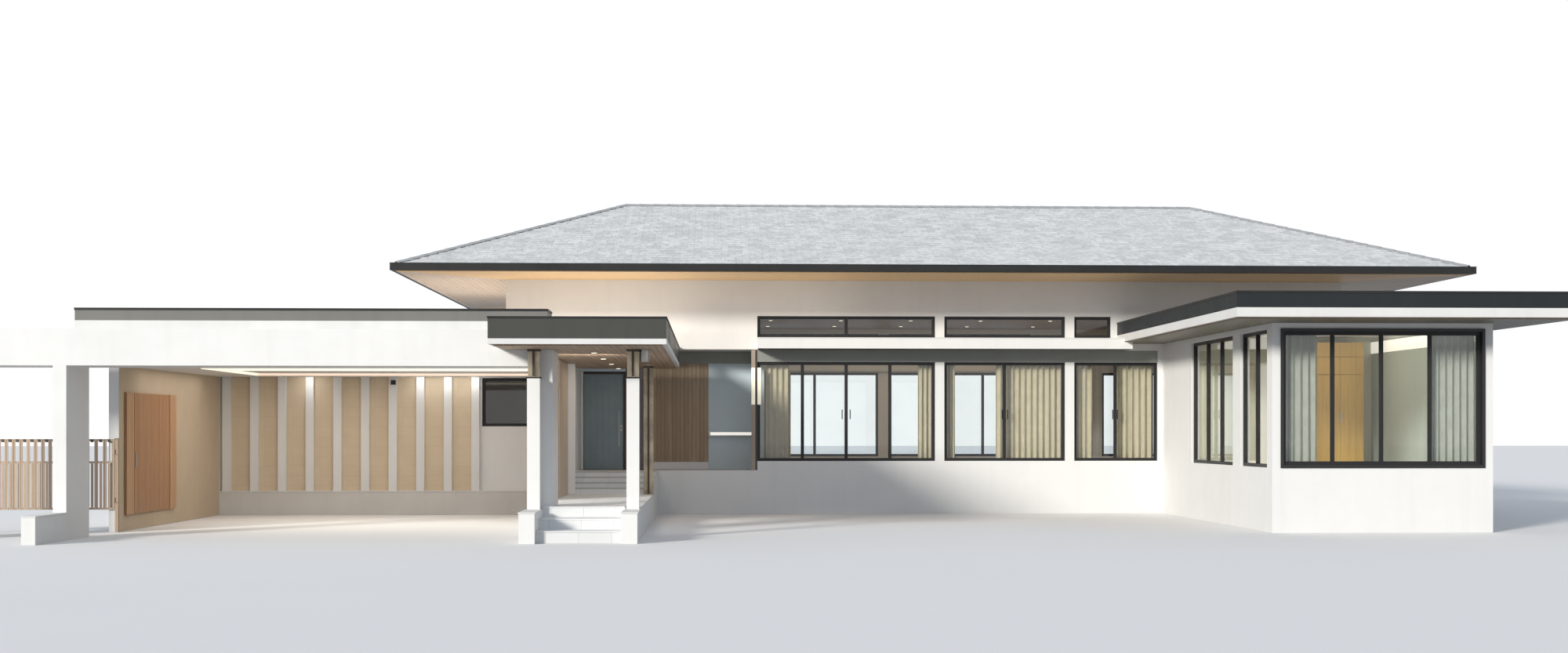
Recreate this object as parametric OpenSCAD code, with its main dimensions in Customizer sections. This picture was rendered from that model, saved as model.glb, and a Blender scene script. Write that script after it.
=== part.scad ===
// Single-storey house: a hip-roofed main block with a glazed garden front, a flat-roofed
// garden wing on the right, a covered walkway to the entrance and an open bay on the left.
// Millimetres. x runs along the front from the left end, y from the front edge of the
// walkway canopy to the back, z up from the lowest ground. The plan is centred on the origin.

/* [Walls and levels] */
// Thickness of the rendered walls
wall_t = 200; // [150:5:260]
// Height of the indoor floor above the lowest ground
floor_z = 1080; // [1000:10:1200]
// Thickness of the floor slabs
floor_t = 150; // [120:5:200]
// Height of the window sills above the floor
sill_up = 230; // [150:10:300]
// Height of the main windows
win_h = 2460; // [2200:10:2560]
// Height from the main window heads up to the underside of the sun ledge
ledge_up = 300; // [280:10:360]
// Thickness of the sun ledge
ledge_h = 260; // [180:10:300]
// How far the sun ledge stands out
ledge_out = 800; // [500:10:1000]
// How far the sun ledge's lower part runs on under the wing roof
ledge_tuck = 200; // [100:10:260]
// Height of the upper window strip's sill above the sun ledge
transom_up = 50; // [20:5:90]
// Height of the upper window strip
transom_h = 530; // [400:10:600]
// Height of the plain wall above the upper window strip
band_h = 890; // [700:10:1000]
// Height of the main ceiling above the floor
ceiling_up = 3970; // [3900:10:4200]
// Thickness of the ceiling boards
ceiling_t = 70; // [40:5:100]

/* [Main block and roof] */
// Depth of the main block
main_d = 8040; // [7600:10:8400]
// Length of the main block's upper wall left of the entrance recess
upper_left_w = 1750; // [1500:10:2000]
// How far the eaves stand out
eave_out = 2400; // [2000:10:2600]
// Width of the gutter all round the eaves
gutter_w = 120; // [90:5:160]
// Height of the gutter
gutter_h = 170; // [140:5:220]
// Thickness of the gutter's walls
gutter_t = 12; // [6:1:20]
// Rise of the hipped roof from the gutter's top to the ridge
roof_rise = 2180; // [1800:10:2400]
// Distance from the roof's ends to the ridge's ends
hip_run = 5010; // [4600:10:5400]
// Thickness of the roof covering, measured upright
roof_t = 120; // [80:5:150]
// Thickness of the eaves soffit
soffit_t = 30; // [20:1:50]

/* [Garden front] */
// Width of the first window, next to the entrance recess
win1_w = 4430; // [4000:10:4800]
// Width of the second window
win2_w = 3030; // [2800:10:3300]
// Width of the third window, next to the wing
win3_w = 2100; // [1900:10:2400]
// Width of the piers between the windows
pier_w = 230; // [180:5:300]
// Width of the pier next to the wing
end_pier_w = 130; // [100:5:200]
// Width of the last window of the upper strip
transom3_w = 920; // [700:10:1000]

/* [Window frames] */
// Face width of a window frame's outer bars
frame_w = 60; // [45:1:75]
// Face width of a mullion
mullion_w = 55; // [40:1:70]
// Depth of a window frame
frame_d = 90; // [70:1:120]
// Set-back of the frames from the wall face
frame_set = 60; // [40:1:80]
// Thickness of the glass
glass_t = 12; // [8:1:20]

/* [Entrance] */
// Width of the entrance recess
recess_w = 4450; // [4200:10:4800]
// Depth of the entrance recess
recess_d = 1200; // [1000:10:1400]
// Height of the entrance recess from the floor to its ceiling
recess_h = 3000; // [2960:10:3040]
// Width of the entrance door leaf
door_w = 1000; // [900:5:1050]
// Height of the entrance door leaf
door_h = 2415; // [2200:5:2450]
// Thickness of the entrance door leaf
door_t = 50; // [40:1:60]
// Face width of the door frame
door_bar = 60; // [40:1:80]
// Gap between the door leaf and its frame
door_gap = 6; // [5:1:8]
// Extra gap on the lock side, so that the turning edge stays clear
lock_gap = 4; // [4:1:8]
// Depth of the door frame
door_frame_d = 100; // [90:1:120]
// Set-back of the door frame from the wall face
door_set = 20; // [10:1:40]
// Width of the dark panel beside the door
side_panel_w = 700; // [600:10:800]
// Thickness of the dark panel
side_panel_t = 140; // [100:5:160]
// Height of the lowest hinge above the door leaf's foot
hinge_low = 200; // [150:10:300]
// Distance from the top hinge's plate to a leaf's top
hinge_high = 300; // [200:10:350]
// Length of the door's upright pull handle
handle_l = 900; // [600:10:1200]
// Height of the handle's lower end above the floor
handle_up = 600; // [500:10:800]
// Distance from the handle to the leaf's lock edge
handle_in = 100; // [80:5:150]
// Width of the timber-clad wall
timber_w = 1400; // [1200:10:1500]
// Height of the shelf on the plain wall, above the floor
shelf_up = 850; // [700:10:1000]
// Thickness of the shelf
shelf_t = 110; // [60:5:140]
// How far the shelf stands out
shelf_out = 150; // [100:5:250]

/* [Garden wing] */
// Width of the wing
wing_w = 4520; // [4200:10:5000]
// How far the wing stands out in front of the main block
wing_out = 8570; // [8000:10:9000]
// Height of the wing's windows
wing_win_h = 2810; // [2600:10:2900]
// Height of the wall above the wing's windows
wing_head_h = 140; // [100:10:200]
// Width of the wing's front corner beside the big window
wing_corner_w = 170; // [150:5:230]
// How far the black box frame round the wing's front window stands out of the wall
box_frame_out = 30; // [10:1:60]
// Distance from the wing's front to the first side window
side_win_y = 330; // [300:10:500]
// Width of the wing's first side window
side_win1_w = 1800; // [1500:10:2000]
// Width of the pier between the wing's side windows
side_pier_w = 540; // [400:10:700]
// Width of the wing's second side window
side_win2_w = 3300; // [3000:10:3600]
// How far the wing roof stands out at its sides
wing_roof_side = 1150; // [900:10:1300]
// How far the wing roof stands out at its front
wing_roof_front = 1430; // [1100:10:1600]
// Thickness of the wing roof's pale edge
wing_roof_t = 180; // [140:5:220]
// Height of the wing roof's dark fascia
wing_fascia_h = 310; // [200:5:340]
// Thickness of the dark fascia boards
fascia_t = 60; // [40:1:100]
// Thickness of the timber linings under the roofs
lining_t = 20; // [12:1:30]
// Distance from the wing's front to its inner back wall
bedroom_d = 6000; // [5700:10:6400]
// Thickness of the wing's inner back wall
partition_t = 100; // [80:5:150]
// Width of the built-in cupboard on that wall
cupboard_w = 1100; // [1000:10:1300]
// Distance from the built-in cupboard to the right wall
cupboard_set = 420; // [300:10:600]
// Height of the built-in cupboard
cupboard_h = 2700; // [2400:10:2900]
// Depth of the built-in cupboard
cupboard_d = 600; // [500:10:650]

/* [Open bay] */
// Width of the frame's uprights, seen from the front
post_w = 250; // [200:5:300]
// Depth of the frame's uprights and of its beam
portal_d = 1200; // [1000:10:1300]
// Distance from the canopy's front edge to the frame's front
portal_y = 1600; // [1580:10:1800]
// Clear width of the side way, between the two left uprights
side_way_w = 2000; // [1900:10:2200]
// Clear width of the open bay between its uprights
bay_w = 8860; // [8600:10:9200]
// Depth of the open bay behind the frame
bay_d = 8700; // [8500:10:9200]
// Height of the frame's clear opening
beam_z = 3290; // [3150:10:3320]
// Height of the frame's beam
beam_h = 690; // [640:10:760]
// How far the flat roof rests on the frame's beam
roof_lap = 100; // [60:10:200]
// Thickness of the flat roof slab
bay_roof_t = 230; // [180:5:260]
// Height of the flat roof's dark fascia
bay_fascia_h = 230; // [150:5:260]
// How far the flat roof stands out past the left wall
bay_roof_side = 140; // [100:5:200]
// How far the flat roof stands out past the right wall
bay_roof_right = 110; // [80:5:150]
// Length of the flat roof's fascia along its right side
bay_return_l = 900; // [600:10:1200]
// Set-back of the left wall's inner face behind the upright's
left_wall_set = 100; // [60:5:160]
// Gap in the left side between the upright and the wall
side_gap = 1400; // [1200:10:1600]
// Gap in the right side between the upright and the wall
passage_w = 2300; // [2000:10:2500]
// Set-back of the right wall's outer face behind the upright's
walk_wall_set = 60; // [30:5:90]
// Height of the bay's ceiling
bay_ceiling_z = 3380; // [3340:10:3440]
// Height of the base course on the bay's back wall
base_h = 590; // [500:10:650]
// How far the base course stands out
base_out = 150; // [140:5:200]
// Distance from the bay's left wall to the first fin
fin_set = 70; // [20:5:80]
// Number of upright fins on the bay's back wall
fin_count = 10; // [8:1:12]
// Width of a fin
fin_w = 195; // [150:5:240]
// Spacing of the fins
fin_step = 672; // [600:1:674]
// How far a fin stands out
fin_out = 120; // [80:5:130]
// Thickness of the tan panels between the fins
panel_t = 30; // [15:1:50]
// Width of the window in the bay's back wall
kitchen_w = 1385; // [1200:5:1500]
// Height of that window
kitchen_h = 1195; // [1000:5:1300]
// Height of that window's sill
kitchen_z = 2170; // [2000:10:2200]
// Width of the wall between that window and the right wall
kitchen_pier_w = 750; // [600:10:900]
// Distance from the left wall's front end to the timber doors
store_set = 300; // [200:10:400]
// Width of one of the four timber doors
store_leaf_w = 815; // [700:5:850]
// Height of the timber doors' top
store_top = 2850; // [2500:10:2900]
// Height of the timber doors' foot
store_foot = 330; // [250:10:400]
// Thickness of the timber doors
store_t = 40; // [25:1:60]
// Gap between two timber doors
store_gap = 10; // [6:1:16]

/* [Kerb wall] */
// Length of the low wall in front of the left upright
kerb_l = 1500; // [1200:10:1550]
// Height of the low wall
kerb_h = 500; // [400:10:600]

/* [Side fence and gate] */
// Height of the fence's top
fence_top = 1890; // [1700:10:2000]
// Height of the fence's foot
fence_foot = 460; // [350:10:500]
// Side of a square fence post
fence_post = 60; // [50:1:80]
// Thickness of the fence and the gate
fence_t = 40; // [30:1:45]
// Height of a rail
rail_h = 40; // [30:1:60]
// Height of the upper panel's lower rail
mid_rail_z = 1400; // [1200:10:1500]
// Width of a slat
slat_w = 45; // [30:1:60]
// Spacing of the slats
slat_step = 145; // [110:1:180]
// Width of the gate leaf
gate_w = 900; // [800:5:1000]
// Height of the gate's lower hinge above its foot
gate_hinge_low = 150; // [100:10:250]
// Gap between the gate leaf and its posts
gate_gap = 10; // [8:1:14]

/* [Walkway] */
// Width of the canopy's front part
canopy_w = 3230; // [3150:10:3400]
// How far the canopy stands out past the walkway's right edge
canopy_side = 530; // [400:10:600]
// Height of the canopy's underside
canopy_z = 3630; // [3560:10:3680]
// Thickness of the canopy's slab
canopy_t = 150; // [120:5:180]
// Height of the canopy's dark fascia
canopy_fascia_h = 390; // [360:10:410]
// Height of the pale band that shows under the dark fascia
pale_band_h = 100; // [60:5:120]
// Thickness of the canopy's dark fascia
canopy_fascia_t = 80; // [60:1:100]
// Set-back of the canopy's top deck below the fascia's top
deck_set = 100; // [60:5:110]
// Thickness of the canopy's top deck
deck_t = 70; // [40:5:90]
// Width of the walkway, outside to outside
walk_w = 2150; // [2000:10:2300]
// Height of the walkway above the lowest ground
walk_z = 600; // [570:10:660]
// How far the walkway's left edge stands in front of the wall beside it
walk_in = 160; // [100:10:200]
// Number of risers in the front flight
front_risers = 3; // [2:1:3]
// Depth of a tread in the front flight
front_tread = 625; // [500:5:640]
// Number of risers in the entrance flight
door_risers = 4; // [3:1:5]
// Depth of a tread in the entrance flight
door_tread = 350; // [300:10:400]
// Distance from the recess to the top of the entrance flight
platform_d = 1850; // [1600:10:2100]
// Distance from the canopy's front edge to the first step
step_y = 250; // [200:10:290]
// Width of the low walls beside the steps
cheek_w = 290; // [260:5:320]
// Height of the low walls beside the steps
cheek_h = 550; // [480:10:600]
// Set-back of the low walls' front from the canopy's front edge
cheek_y = 50; // [30:5:120]
// Side of a square porch column
column_w = 240; // [230:5:250]
// Set-back of the porch columns from the low walls' outer faces
column_set = 20; // [10:1:25]
// Gap between the porch columns and the frame's upright
column_gap = 60; // [40:5:80]
// Height of a porch column's top
column_top = 3075; // [2900:5:3150]
// Width of the timber cladding on the wall beside the walkway
clad_w = 2200; // [1800:10:2400]
// Distance from that wall's front end to the cladding
clad_set = 1000; // [800:10:1200]
// Thickness of the cladding
clad_t = 30; // [15:1:40]
// Width of a bronze post, across its bars
bronze_w = 225; // [190:5:230]
// Width of the slim bronze post at the recess's right corner
slim_w = 90; // [70:5:120]
// Thickness of a bronze post's bars
bronze_t = 45; // [30:1:60]
// Gap between the rear post and the entrance flight
rear_post_gap = 80; // [40:10:200]

/* [Back and side windows] */
// Distance from the main block's left face to the first back window
back_a_set = 6205; // [5800:5:6500]
// Width of the first back window
back_a_w = 3740; // [3400:10:3900]
// Width of the pier between the back windows
back_pier_w = 310; // [200:5:400]
// Width of the second back window
back_b_w = 4195; // [3900:5:4300]
// Width of the bedroom's back window
back_c_w = 3000; // [2600:10:3200]
// Distance from the right face to the bedroom's back window
back_c_set = 1300; // [1000:10:1600]
// Width of the right side's windows
east_win_w = 1800; // [1500:10:2000]

/* [Curtains] */
// Depth of a hanging curtain's folds
curtain_d = 110; // [80:5:130]
// Gap between a window wall and its curtains
curtain_set = 40; // [25:1:60]
// Height of a curtain rail
track_h = 40; // [25:1:60]
// Clearance under the curtains
curtain_foot = 20; // [10:1:40]

/* [Hidden] */
eps = 1;
sill_z = floor_z + sill_up;
head_z = sill_z + win_h;
ledge_z = head_z + ledge_up;
transom_z = ledge_z + ledge_h + transom_up;
transom_top = transom_z + transom_h;
eave_z = transom_top + band_h;
recess_top = floor_z + recess_h;
ceiling_z = floor_z + ceiling_up;
wing_head = sill_z + wing_win_h;
wing_top = wing_head + wing_head_h;
wing_roof_top = wing_top + wing_roof_t;
beam_top = beam_z + beam_h;
bay_roof_top = beam_top + bay_roof_t;

// Places along the front
blade_x = post_w + side_way_w;
left_wall_in = blade_x + post_w + left_wall_set;
left_wall_x = left_wall_in - wall_t;
leg_x = blade_x + post_w + bay_w;
portal_end = leg_x + post_w;
recess_x = leg_x - walk_wall_set;
walk_wall_x = recess_x - wall_t;
main_x = recess_x - upper_left_w;
win1_x = recess_x + recess_w;
win2_x = win1_x + win1_w + pier_w;
win3_x = win2_x + win2_w + pier_w;
wing_x = win3_x + win3_w + end_pier_w;
right_x = wing_x + wing_w;
right_in = right_x - wall_t;
kitchen_x = walk_wall_x - kitchen_pier_w - kitchen_w;

// Places from front to back
portal_back = portal_y + portal_d;
main_y = portal_back + bay_d;
main_in = main_y + wall_t;
back_y = main_y + main_d;
back_in = back_y - wall_t;
recess_y = main_y + recess_d;
wing_y = main_y - wing_out;
wing_in = wing_y + wall_t;
bedroom_y = wing_y + bedroom_d;
left_wall_y = portal_back + side_gap;
walk_wall_y = portal_back + passage_w;

// Whole building
total_l = right_x + eave_out;
total_d = back_y + eave_out;

// Walkway and steps
cheek_x = recess_x - walk_in;
walk_right = cheek_x + walk_w;
walk_y = step_y + (front_risers - 1) * front_tread;
flight_y = main_y - platform_d - (door_risers - 1) * door_tread;
column_xs = [cheek_x + column_set, walk_right - column_set - column_w];
column_y = portal_y - column_w - column_gap;
platform_y = main_y - platform_d;

// Windows as [start, width, lights]
front_wins = [[win1_x, win1_w, 4], [win2_x, win2_w, 2], [win3_x, win3_w, 2]];
strip_wins = [[win1_x, win1_w, 2], [win2_x, win2_w, 1], [win3_x, transom3_w, 1]];
back_a_x = main_x + back_a_set;
back_b_x = back_a_x + back_a_w + back_pier_w;
back_c_x = right_x - back_c_set - back_c_w;
back_wins = [[back_a_x, back_a_w, 2], [back_b_x, back_b_w, 3], [back_c_x, back_c_w, 2]];
side_wins = [
    [wing_y + side_win_y, side_win1_w, 2],
    [wing_y + side_win_y + side_win1_w + side_pier_w, side_win2_w, 3]
];
east_wins = [
    [bedroom_y + partition_t + pier_w, east_win_w, 2],
    [main_y + (main_d - east_win_w) / 2, east_win_w, 2]
];

// Curtains as [window, start, end], the last two as shares of that window's width
front_drapes = [[0, 0.05, 0.18], [0, 0.91, 0.99], [1, 0.01, 0.1], [1, 0.44, 0.99],
                [2, 0.02, 0.25], [2, 0.51, 0.97]];
back_drapes = [[0, 0.01, 0.31], [1, 0.21, 0.46], [1, 0.77, 0.99]];
wing_drapes = [[0.015, 0.2], [0.77, 0.98]];

// Wing front window and its box frame
box_x = wing_x + wing_corner_w;
box_w = wing_w - 2 * wing_corner_w;
box_y = wing_y - box_frame_out;

// Entrance door
leaf_x = recess_x + door_bar + door_gap;
lock_x = leaf_x + door_w + door_gap + lock_gap;
panel_x = lock_x + door_bar;
timber_x = panel_x + side_panel_w;
plain_x = timber_x + timber_w;
frame_y = recess_y + door_set;
frame_back = frame_y + door_frame_d;
leaf_in = 10;
leaf_back = frame_back - leaf_in;
leaf_y = leaf_back - door_t;
leaf_z = floor_z + door_gap;
leaf_top = leaf_z + door_h;
door_head = leaf_top + door_gap;
pin_r = 4;
knuckle_r = 8;
knuckle_h = 90;
play = 0.08;
lift = 1;
lug_l = 30;
plate_t = 8;
door_pin_x = leaf_x - door_gap / 2;
door_pin_y = frame_back + knuckle_r + lift;
door_hinges = [leaf_z + hinge_low, leaf_z + door_h / 2, leaf_top - hinge_high];
handle_r = 12;
handle_off = 50;
stud_r = 8;

// Side fence and gate, between the left upright's outer face and the left wall
fence_back = left_wall_y;
fence_front = fence_back - fence_post;
fence_y = fence_front + leaf_in;
hinge_post_x = left_wall_in - fence_post;
gate_end = hinge_post_x - gate_gap;
gate_x = gate_end - gate_w;
lock_post_x = gate_x - gate_gap - fence_post;
gate_pin_r = 6;
gate_knuckle_r = 12;
gate_pin_x = hinge_post_x - gate_gap / 2;
gate_pin_y = fence_front - gate_knuckle_r - 2 * lift;
gate_hinges = [fence_foot + gate_hinge_low, fence_top - hinge_high];

// Open bay
annex_win_x = left_wall_in + (main_x - left_wall_in - kitchen_w) / 2;
flat_left = left_wall_x - bay_roof_side;
flat_right = recess_x + bay_roof_right;
flat_front = portal_back - roof_lap;
flat_back = back_y + bay_roof_side;
fin_x = left_wall_in + fin_set;
bay_ceiling_t = 60;

// Canopy
canopy_right = walk_right + canopy_side;
canopy_x = canopy_right - canopy_w;
canopy_fascia_z = canopy_z + pale_band_h;
canopy_fascia_top = canopy_fascia_z + canopy_fascia_h;
deck_z = canopy_fascia_top - deck_set - deck_t;

// Roof outline and gutter
eave_x = main_x - eave_out;
eave_y = main_y - eave_out;
eave_top = eave_z + gutter_h;
roof_x = eave_x + gutter_w;
roof_y = eave_y + gutter_w;
roof_l = total_l - gutter_w - roof_x;
roof_d = total_d - gutter_w - roof_y;

// A box between two corners given as ranges along x, y and z
module block(x, y, z) {
    translate([x[0], y[0], z[0]])
        cube([x[1] - x[0], y[1] - y[0], z[1] - z[0]]);
}

// Moves the plan's centre to the origin
module site() {
    translate([-total_l / 2, -total_d / 2, 0]) children();
}

// Wall pieces left and right of the windows in one wall that runs along x
module piers_x(start, end, wins, y, z) {
    for (i = [0:len(wins)]) {
        a = i == 0 ? start : wins[i - 1][0] + wins[i - 1][1];
        b = i == len(wins) ? end : wins[i][0];
        if (b > a) block([a, b], y, z);
    }
}

// The same in a wall that runs along y
module piers_y(start, end, wins, x, z) {
    for (i = [0:len(wins)]) {
        a = i == 0 ? start : wins[i - 1][0] + wins[i - 1][1];
        b = i == len(wins) ? end : wins[i][0];
        if (b > a) block(x, [a, b], z);
    }
}

// A flat shape stood up in a wall along x, from depth y over d
module upright_x(x, y, z, d) {
    translate([x, y + d, z]) rotate([90, 0, 0]) linear_extrude(d) children();
}

// A flat shape stood up in a wall along y, from x over d
module upright_y(x, y, z, d) {
    translate([x, y, z]) rotate([90, 0, 90]) linear_extrude(d) children();
}

// Bars (part 0) or panes (part 1) of one window with n lights
module lights(w, h, n, part) {
    light = (w - 2 * frame_w - (n - 1) * mullion_w) / n;
    if (part == 0) difference() {
        square([w, h]);
        for (i = [0:n - 1])
            translate([frame_w + i * (light + mullion_w), frame_w])
                square([light, h - 2 * frame_w]);
    }
    if (part == 1) for (i = [0:n - 1])
        translate([frame_w + i * (light + mullion_w), frame_w])
            square([light, h - 2 * frame_w]);
}

// One window in a wall along x; y is the frame's front
module window_x(x, y, z, w, h, n, part) {
    d = part == 0 ? frame_d : glass_t;
    upright_x(x, y + (frame_d - d) / 2, z, d) lights(w, h, n, part);
}

// One window in a wall along y; x is the frame's left
module window_y(x, y, z, w, h, n, part) {
    d = part == 0 ? frame_d : glass_t;
    upright_y(x + (frame_d - d) / 2, y, z, d) lights(w, h, n, part);
}

// Every window's bars (part 0) or panes (part 1)
module windows(part) {
    for (w = front_wins) window_x(w[0], main_y + frame_set, sill_z, w[1], win_h, w[2], part);
    for (w = strip_wins)
        window_x(w[0], main_y + frame_set, transom_z, w[1], transom_h, w[2], part);
    for (w = back_wins)
        window_x(w[0], back_y - frame_set - frame_d, sill_z, w[1], win_h, w[2], part);
    for (i = [0:1])
        window_x(back_wins[i][0], back_y - frame_set - frame_d, transom_z,
                 back_wins[i][1], transom_h, back_wins[i][2], part);
    for (w = side_wins)
        window_y(wing_x + frame_set, w[0], sill_z, w[1], wing_win_h, w[2], part);
    for (w = east_wins)
        window_y(right_x - frame_set - frame_d, w[0], sill_z, w[1], win_h, w[2], part);
    window_x(box_x + frame_w, wing_y + frame_set, sill_z + frame_w,
             box_w - 2 * frame_w, wing_win_h - 2 * frame_w, 4, part);
    window_x(kitchen_x, main_y + frame_set, kitchen_z, kitchen_w, kitchen_h, 1, part);
    window_x(annex_win_x, back_y - frame_set - frame_d, kitchen_z,
             kitchen_w, kitchen_h, 2, part);
    window_y(win1_x, main_in, sill_z, recess_d - wall_t, win_h, 1, part);
}

// Solid with the hipped roof's slopes, its eaves edge at height z
module hip(z) {
    rise = z + roof_rise;
    half = roof_d / 2;
    intersection() {
        upright_y(roof_x, 0, 0, roof_l)
            polygon([[roof_y, z - roof_t], [roof_y + roof_d, z - roof_t],
                     [roof_y + roof_d, z], [roof_y + half, rise], [roof_y, z]]);
        upright_x(0, roof_y, 0, roof_d)
            polygon([[roof_x, z - roof_t], [roof_x + roof_l, z - roof_t],
                     [roof_x + roof_l, z], [roof_x + roof_l - hip_run, rise],
                     [roof_x + hip_run, rise], [roof_x, z]]);
    }
}

// Hipped roof covering with its upright thickness at the eaves
module roof_shell() {
    color("slategray") site() difference() {
        hip(eave_top);
        hip(eave_top - roof_t);
    }
}

// Open channel all round the eaves
module gutter() {
    z = [eave_z, eave_top];
    bed = [eave_z + gutter_t, eave_top + eps];
    inner = gutter_w - gutter_t;
    color("dimgray") site() difference() {
        block([eave_x, total_l], [eave_y, total_d], z);
        block([roof_x, roof_x + roof_l], [roof_y, roof_y + roof_d], [eave_z - eps, eave_top + eps]);
        difference() {
            block([eave_x + gutter_t, total_l - gutter_t],
                  [eave_y + gutter_t, total_d - gutter_t], bed);
            block([eave_x + inner, total_l - inner], [eave_y + inner, total_d - inner],
                  [eave_z, eave_top + 2 * eps]);
        }
    }
}

// Boarded soffit between the gutter and the walls
module eaves_soffit() {
    color("burlywood") site() difference() {
        block([roof_x, roof_x + roof_l], [roof_y, roof_y + roof_d], [eave_z, eave_z + soffit_t]);
        block([main_x + wall_t, right_in], [main_in, back_in],
              [eave_z - eps, eave_z + soffit_t + eps]);
    }
}

// Boarded ceiling of the main room
module main_ceiling() {
    color("burlywood") site()
        block([main_x + wall_t, right_in], [main_in, back_in], [ceiling_z, ceiling_z + ceiling_t]);
}

// Plain walls above the upper window strip, front and back
module upper_walls() {
    color("white") site() {
        block([main_x, right_x], [main_y, main_in], [transom_top, eave_z]);
        block([main_x, right_x], [back_in, back_y], [transom_top, eave_z]);
    }
}

// The main block's end walls above the flat roofs
module end_walls() {
    color("white") site() {
        block([main_x, main_x + wall_t], [main_in, back_in], [beam_top, eave_z]);
        block([right_in, right_x], [main_in, back_in], [wing_top, eave_z]);
    }
}

// Walls between the flat roofs and the upper band: over the entrance and over the wing
module upper_infill_walls() {
    color("white") site() {
        upright_x(0, main_y, 0, wall_t)
            polygon([[main_x, beam_top], [recess_x, beam_top], [recess_x, recess_top],
                     [win1_x, recess_top], [win1_x, transom_top], [main_x, transom_top]]);
        block([wing_x, right_x], [main_y, main_in], [wing_top, transom_top]);
    }
}

// Walls between the windows' heads and the upper window strip, front and back
module lintel_walls() {
    color("white") site() {
        block([win1_x, wing_x], [main_y, main_in], [head_z, transom_z]);
        block([main_x, right_x], [back_in, back_y], [head_z, transom_z]);
    }
}

// Piers between the main windows, front and back, and the stop between the corner's frames
module window_piers() {
    color("white") site() {
        piers_x(win1_x, wing_x, front_wins, [main_y, main_in], [sill_z, head_z]);
        block([win1_x, win1_x + frame_d], [main_y + frame_set + frame_d, main_in],
              [sill_z, head_z]);
        piers_x(main_x, right_x, back_wins, [back_in, back_y], [sill_z, head_z]);
    }
}

// Piers between the upper strip's windows, front and back
module strip_piers() {
    color("white") site() {
        piers_x(win1_x, wing_x, strip_wins, [main_y, main_in], [transom_z, transom_top]);
        piers_x(main_x, right_x, [back_wins[0], back_wins[1]], [back_in, back_y],
                [transom_z, transom_top]);
    }
}

// Walls under the main windows, front and back
module sill_walls() {
    color("white") site() {
        block([win1_x, wing_x], [main_y, main_in], [0, sill_z]);
        block([main_x, right_x], [back_in, back_y], [0, sill_z]);
    }
}

// Sun ledge over the garden windows, and the shelf in the entrance recess
module ledges() {
    color("gainsboro") site() {
        block([win1_x, wing_x - wing_roof_side], [main_y - ledge_out, main_y],
              [ledge_z, ledge_z + ledge_h]);
        block([wing_x - wing_roof_side, wing_x - wing_roof_side + ledge_tuck],
              [main_y - ledge_out, main_y], [ledge_z, wing_top - lining_t]);
        block([plain_x, win1_x], [recess_y - shelf_out, recess_y],
              [floor_z + shelf_up, floor_z + shelf_up + shelf_t]);
    }
}

// Walls under the windows of the wing's garden side and of the right side
module side_sill_walls() {
    color("white") site() {
        block([wing_x, wing_x + wall_t], [wing_in, main_in], [0, sill_z]);
        block([right_in, right_x], [wing_in, back_in], [0, sill_z]);
    }
}

// Walls above those windows
module side_head_walls() {
    color("white") site() {
        block([wing_x, wing_x + wall_t], [wing_in, main_in], [wing_head, wing_top]);
        block([right_in, right_x], [wing_in, back_in], [head_z, wing_top]);
    }
}

// Piers beside those windows
module side_piers() {
    color("white") site() {
        piers_y(wing_in, main_in, side_wins, [wing_x, wing_x + wall_t], [sill_z, wing_head]);
        piers_y(wing_in, back_in, east_wins, [right_in, right_x], [sill_z, head_z]);
    }
}

// The wing's front wall with its big window opening
module wing_front_wall() {
    color("white") site() difference() {
        block([wing_x, right_x], [wing_y, wing_in], [0, wing_top]);
        block([box_x, box_x + box_w], [wing_y - eps, wing_in + eps], [sill_z, wing_head]);
    }
}

// Deep black box frame round that window
module wing_box_frame() {
    color("black") site() difference() {
        block([box_x, box_x + box_w], [box_y, wing_in], [sill_z, wing_head]);
        block([box_x + frame_w, box_x + box_w - frame_w], [box_y - eps, wing_in + eps],
              [sill_z + frame_w, wing_head - frame_w]);
    }
}

// Wall under the entrance recess
module recess_base() {
    color("white") site() block([recess_x, win1_x], [main_y, main_in], [0, floor_z]);
}

// Sill and lintel of the recess's window wall
module recess_side_wall() {
    color("white") site() {
        block([win1_x, win1_x + wall_t], [main_in, recess_y], [floor_z, sill_z]);
        block([win1_x, win1_x + wall_t], [main_in, recess_y], [head_z, recess_top]);
    }
}

// Wall over the entrance door and the plain wall at the recess's right end
module recess_back_wall() {
    y = [recess_y, recess_y + wall_t];
    color("lightsteelblue") site() {
        block([recess_x, panel_x], y, [door_head + door_bar, recess_top]);
        block([plain_x, win1_x + wall_t], y, [floor_z, recess_top]);
    }
}

// Hinge pins with their plates on the door frame's back
module door_pins() {
    for (z = door_hinges) {
        translate([door_pin_x, door_pin_y, z - plate_t]) cylinder(r = knuckle_r, h = plate_t);
        block([recess_x + knuckle_r, door_pin_x], [frame_back, door_pin_y + knuckle_r],
              [z - plate_t, z]);
        translate([door_pin_x, door_pin_y, z - plate_t])
            cylinder(r = pin_r, h = plate_t + lift + knuckle_h);
    }
}

// Door frame with its hinge pins, and the dark panel beside it
module door_frame() {
    color("dimgray") site() {
        upright_x(0, frame_y, 0, door_frame_d)
            polygon([[recess_x, floor_z], [recess_x + door_bar, floor_z],
                     [recess_x + door_bar, door_head], [lock_x, door_head], [lock_x, floor_z],
                     [panel_x, floor_z], [panel_x, door_head + door_bar],
                     [recess_x, door_head + door_bar]]);
        block([panel_x, timber_x], [frame_y, frame_y + side_panel_t], [floor_z, recess_top]);
        door_pins();
    }
}

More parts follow.
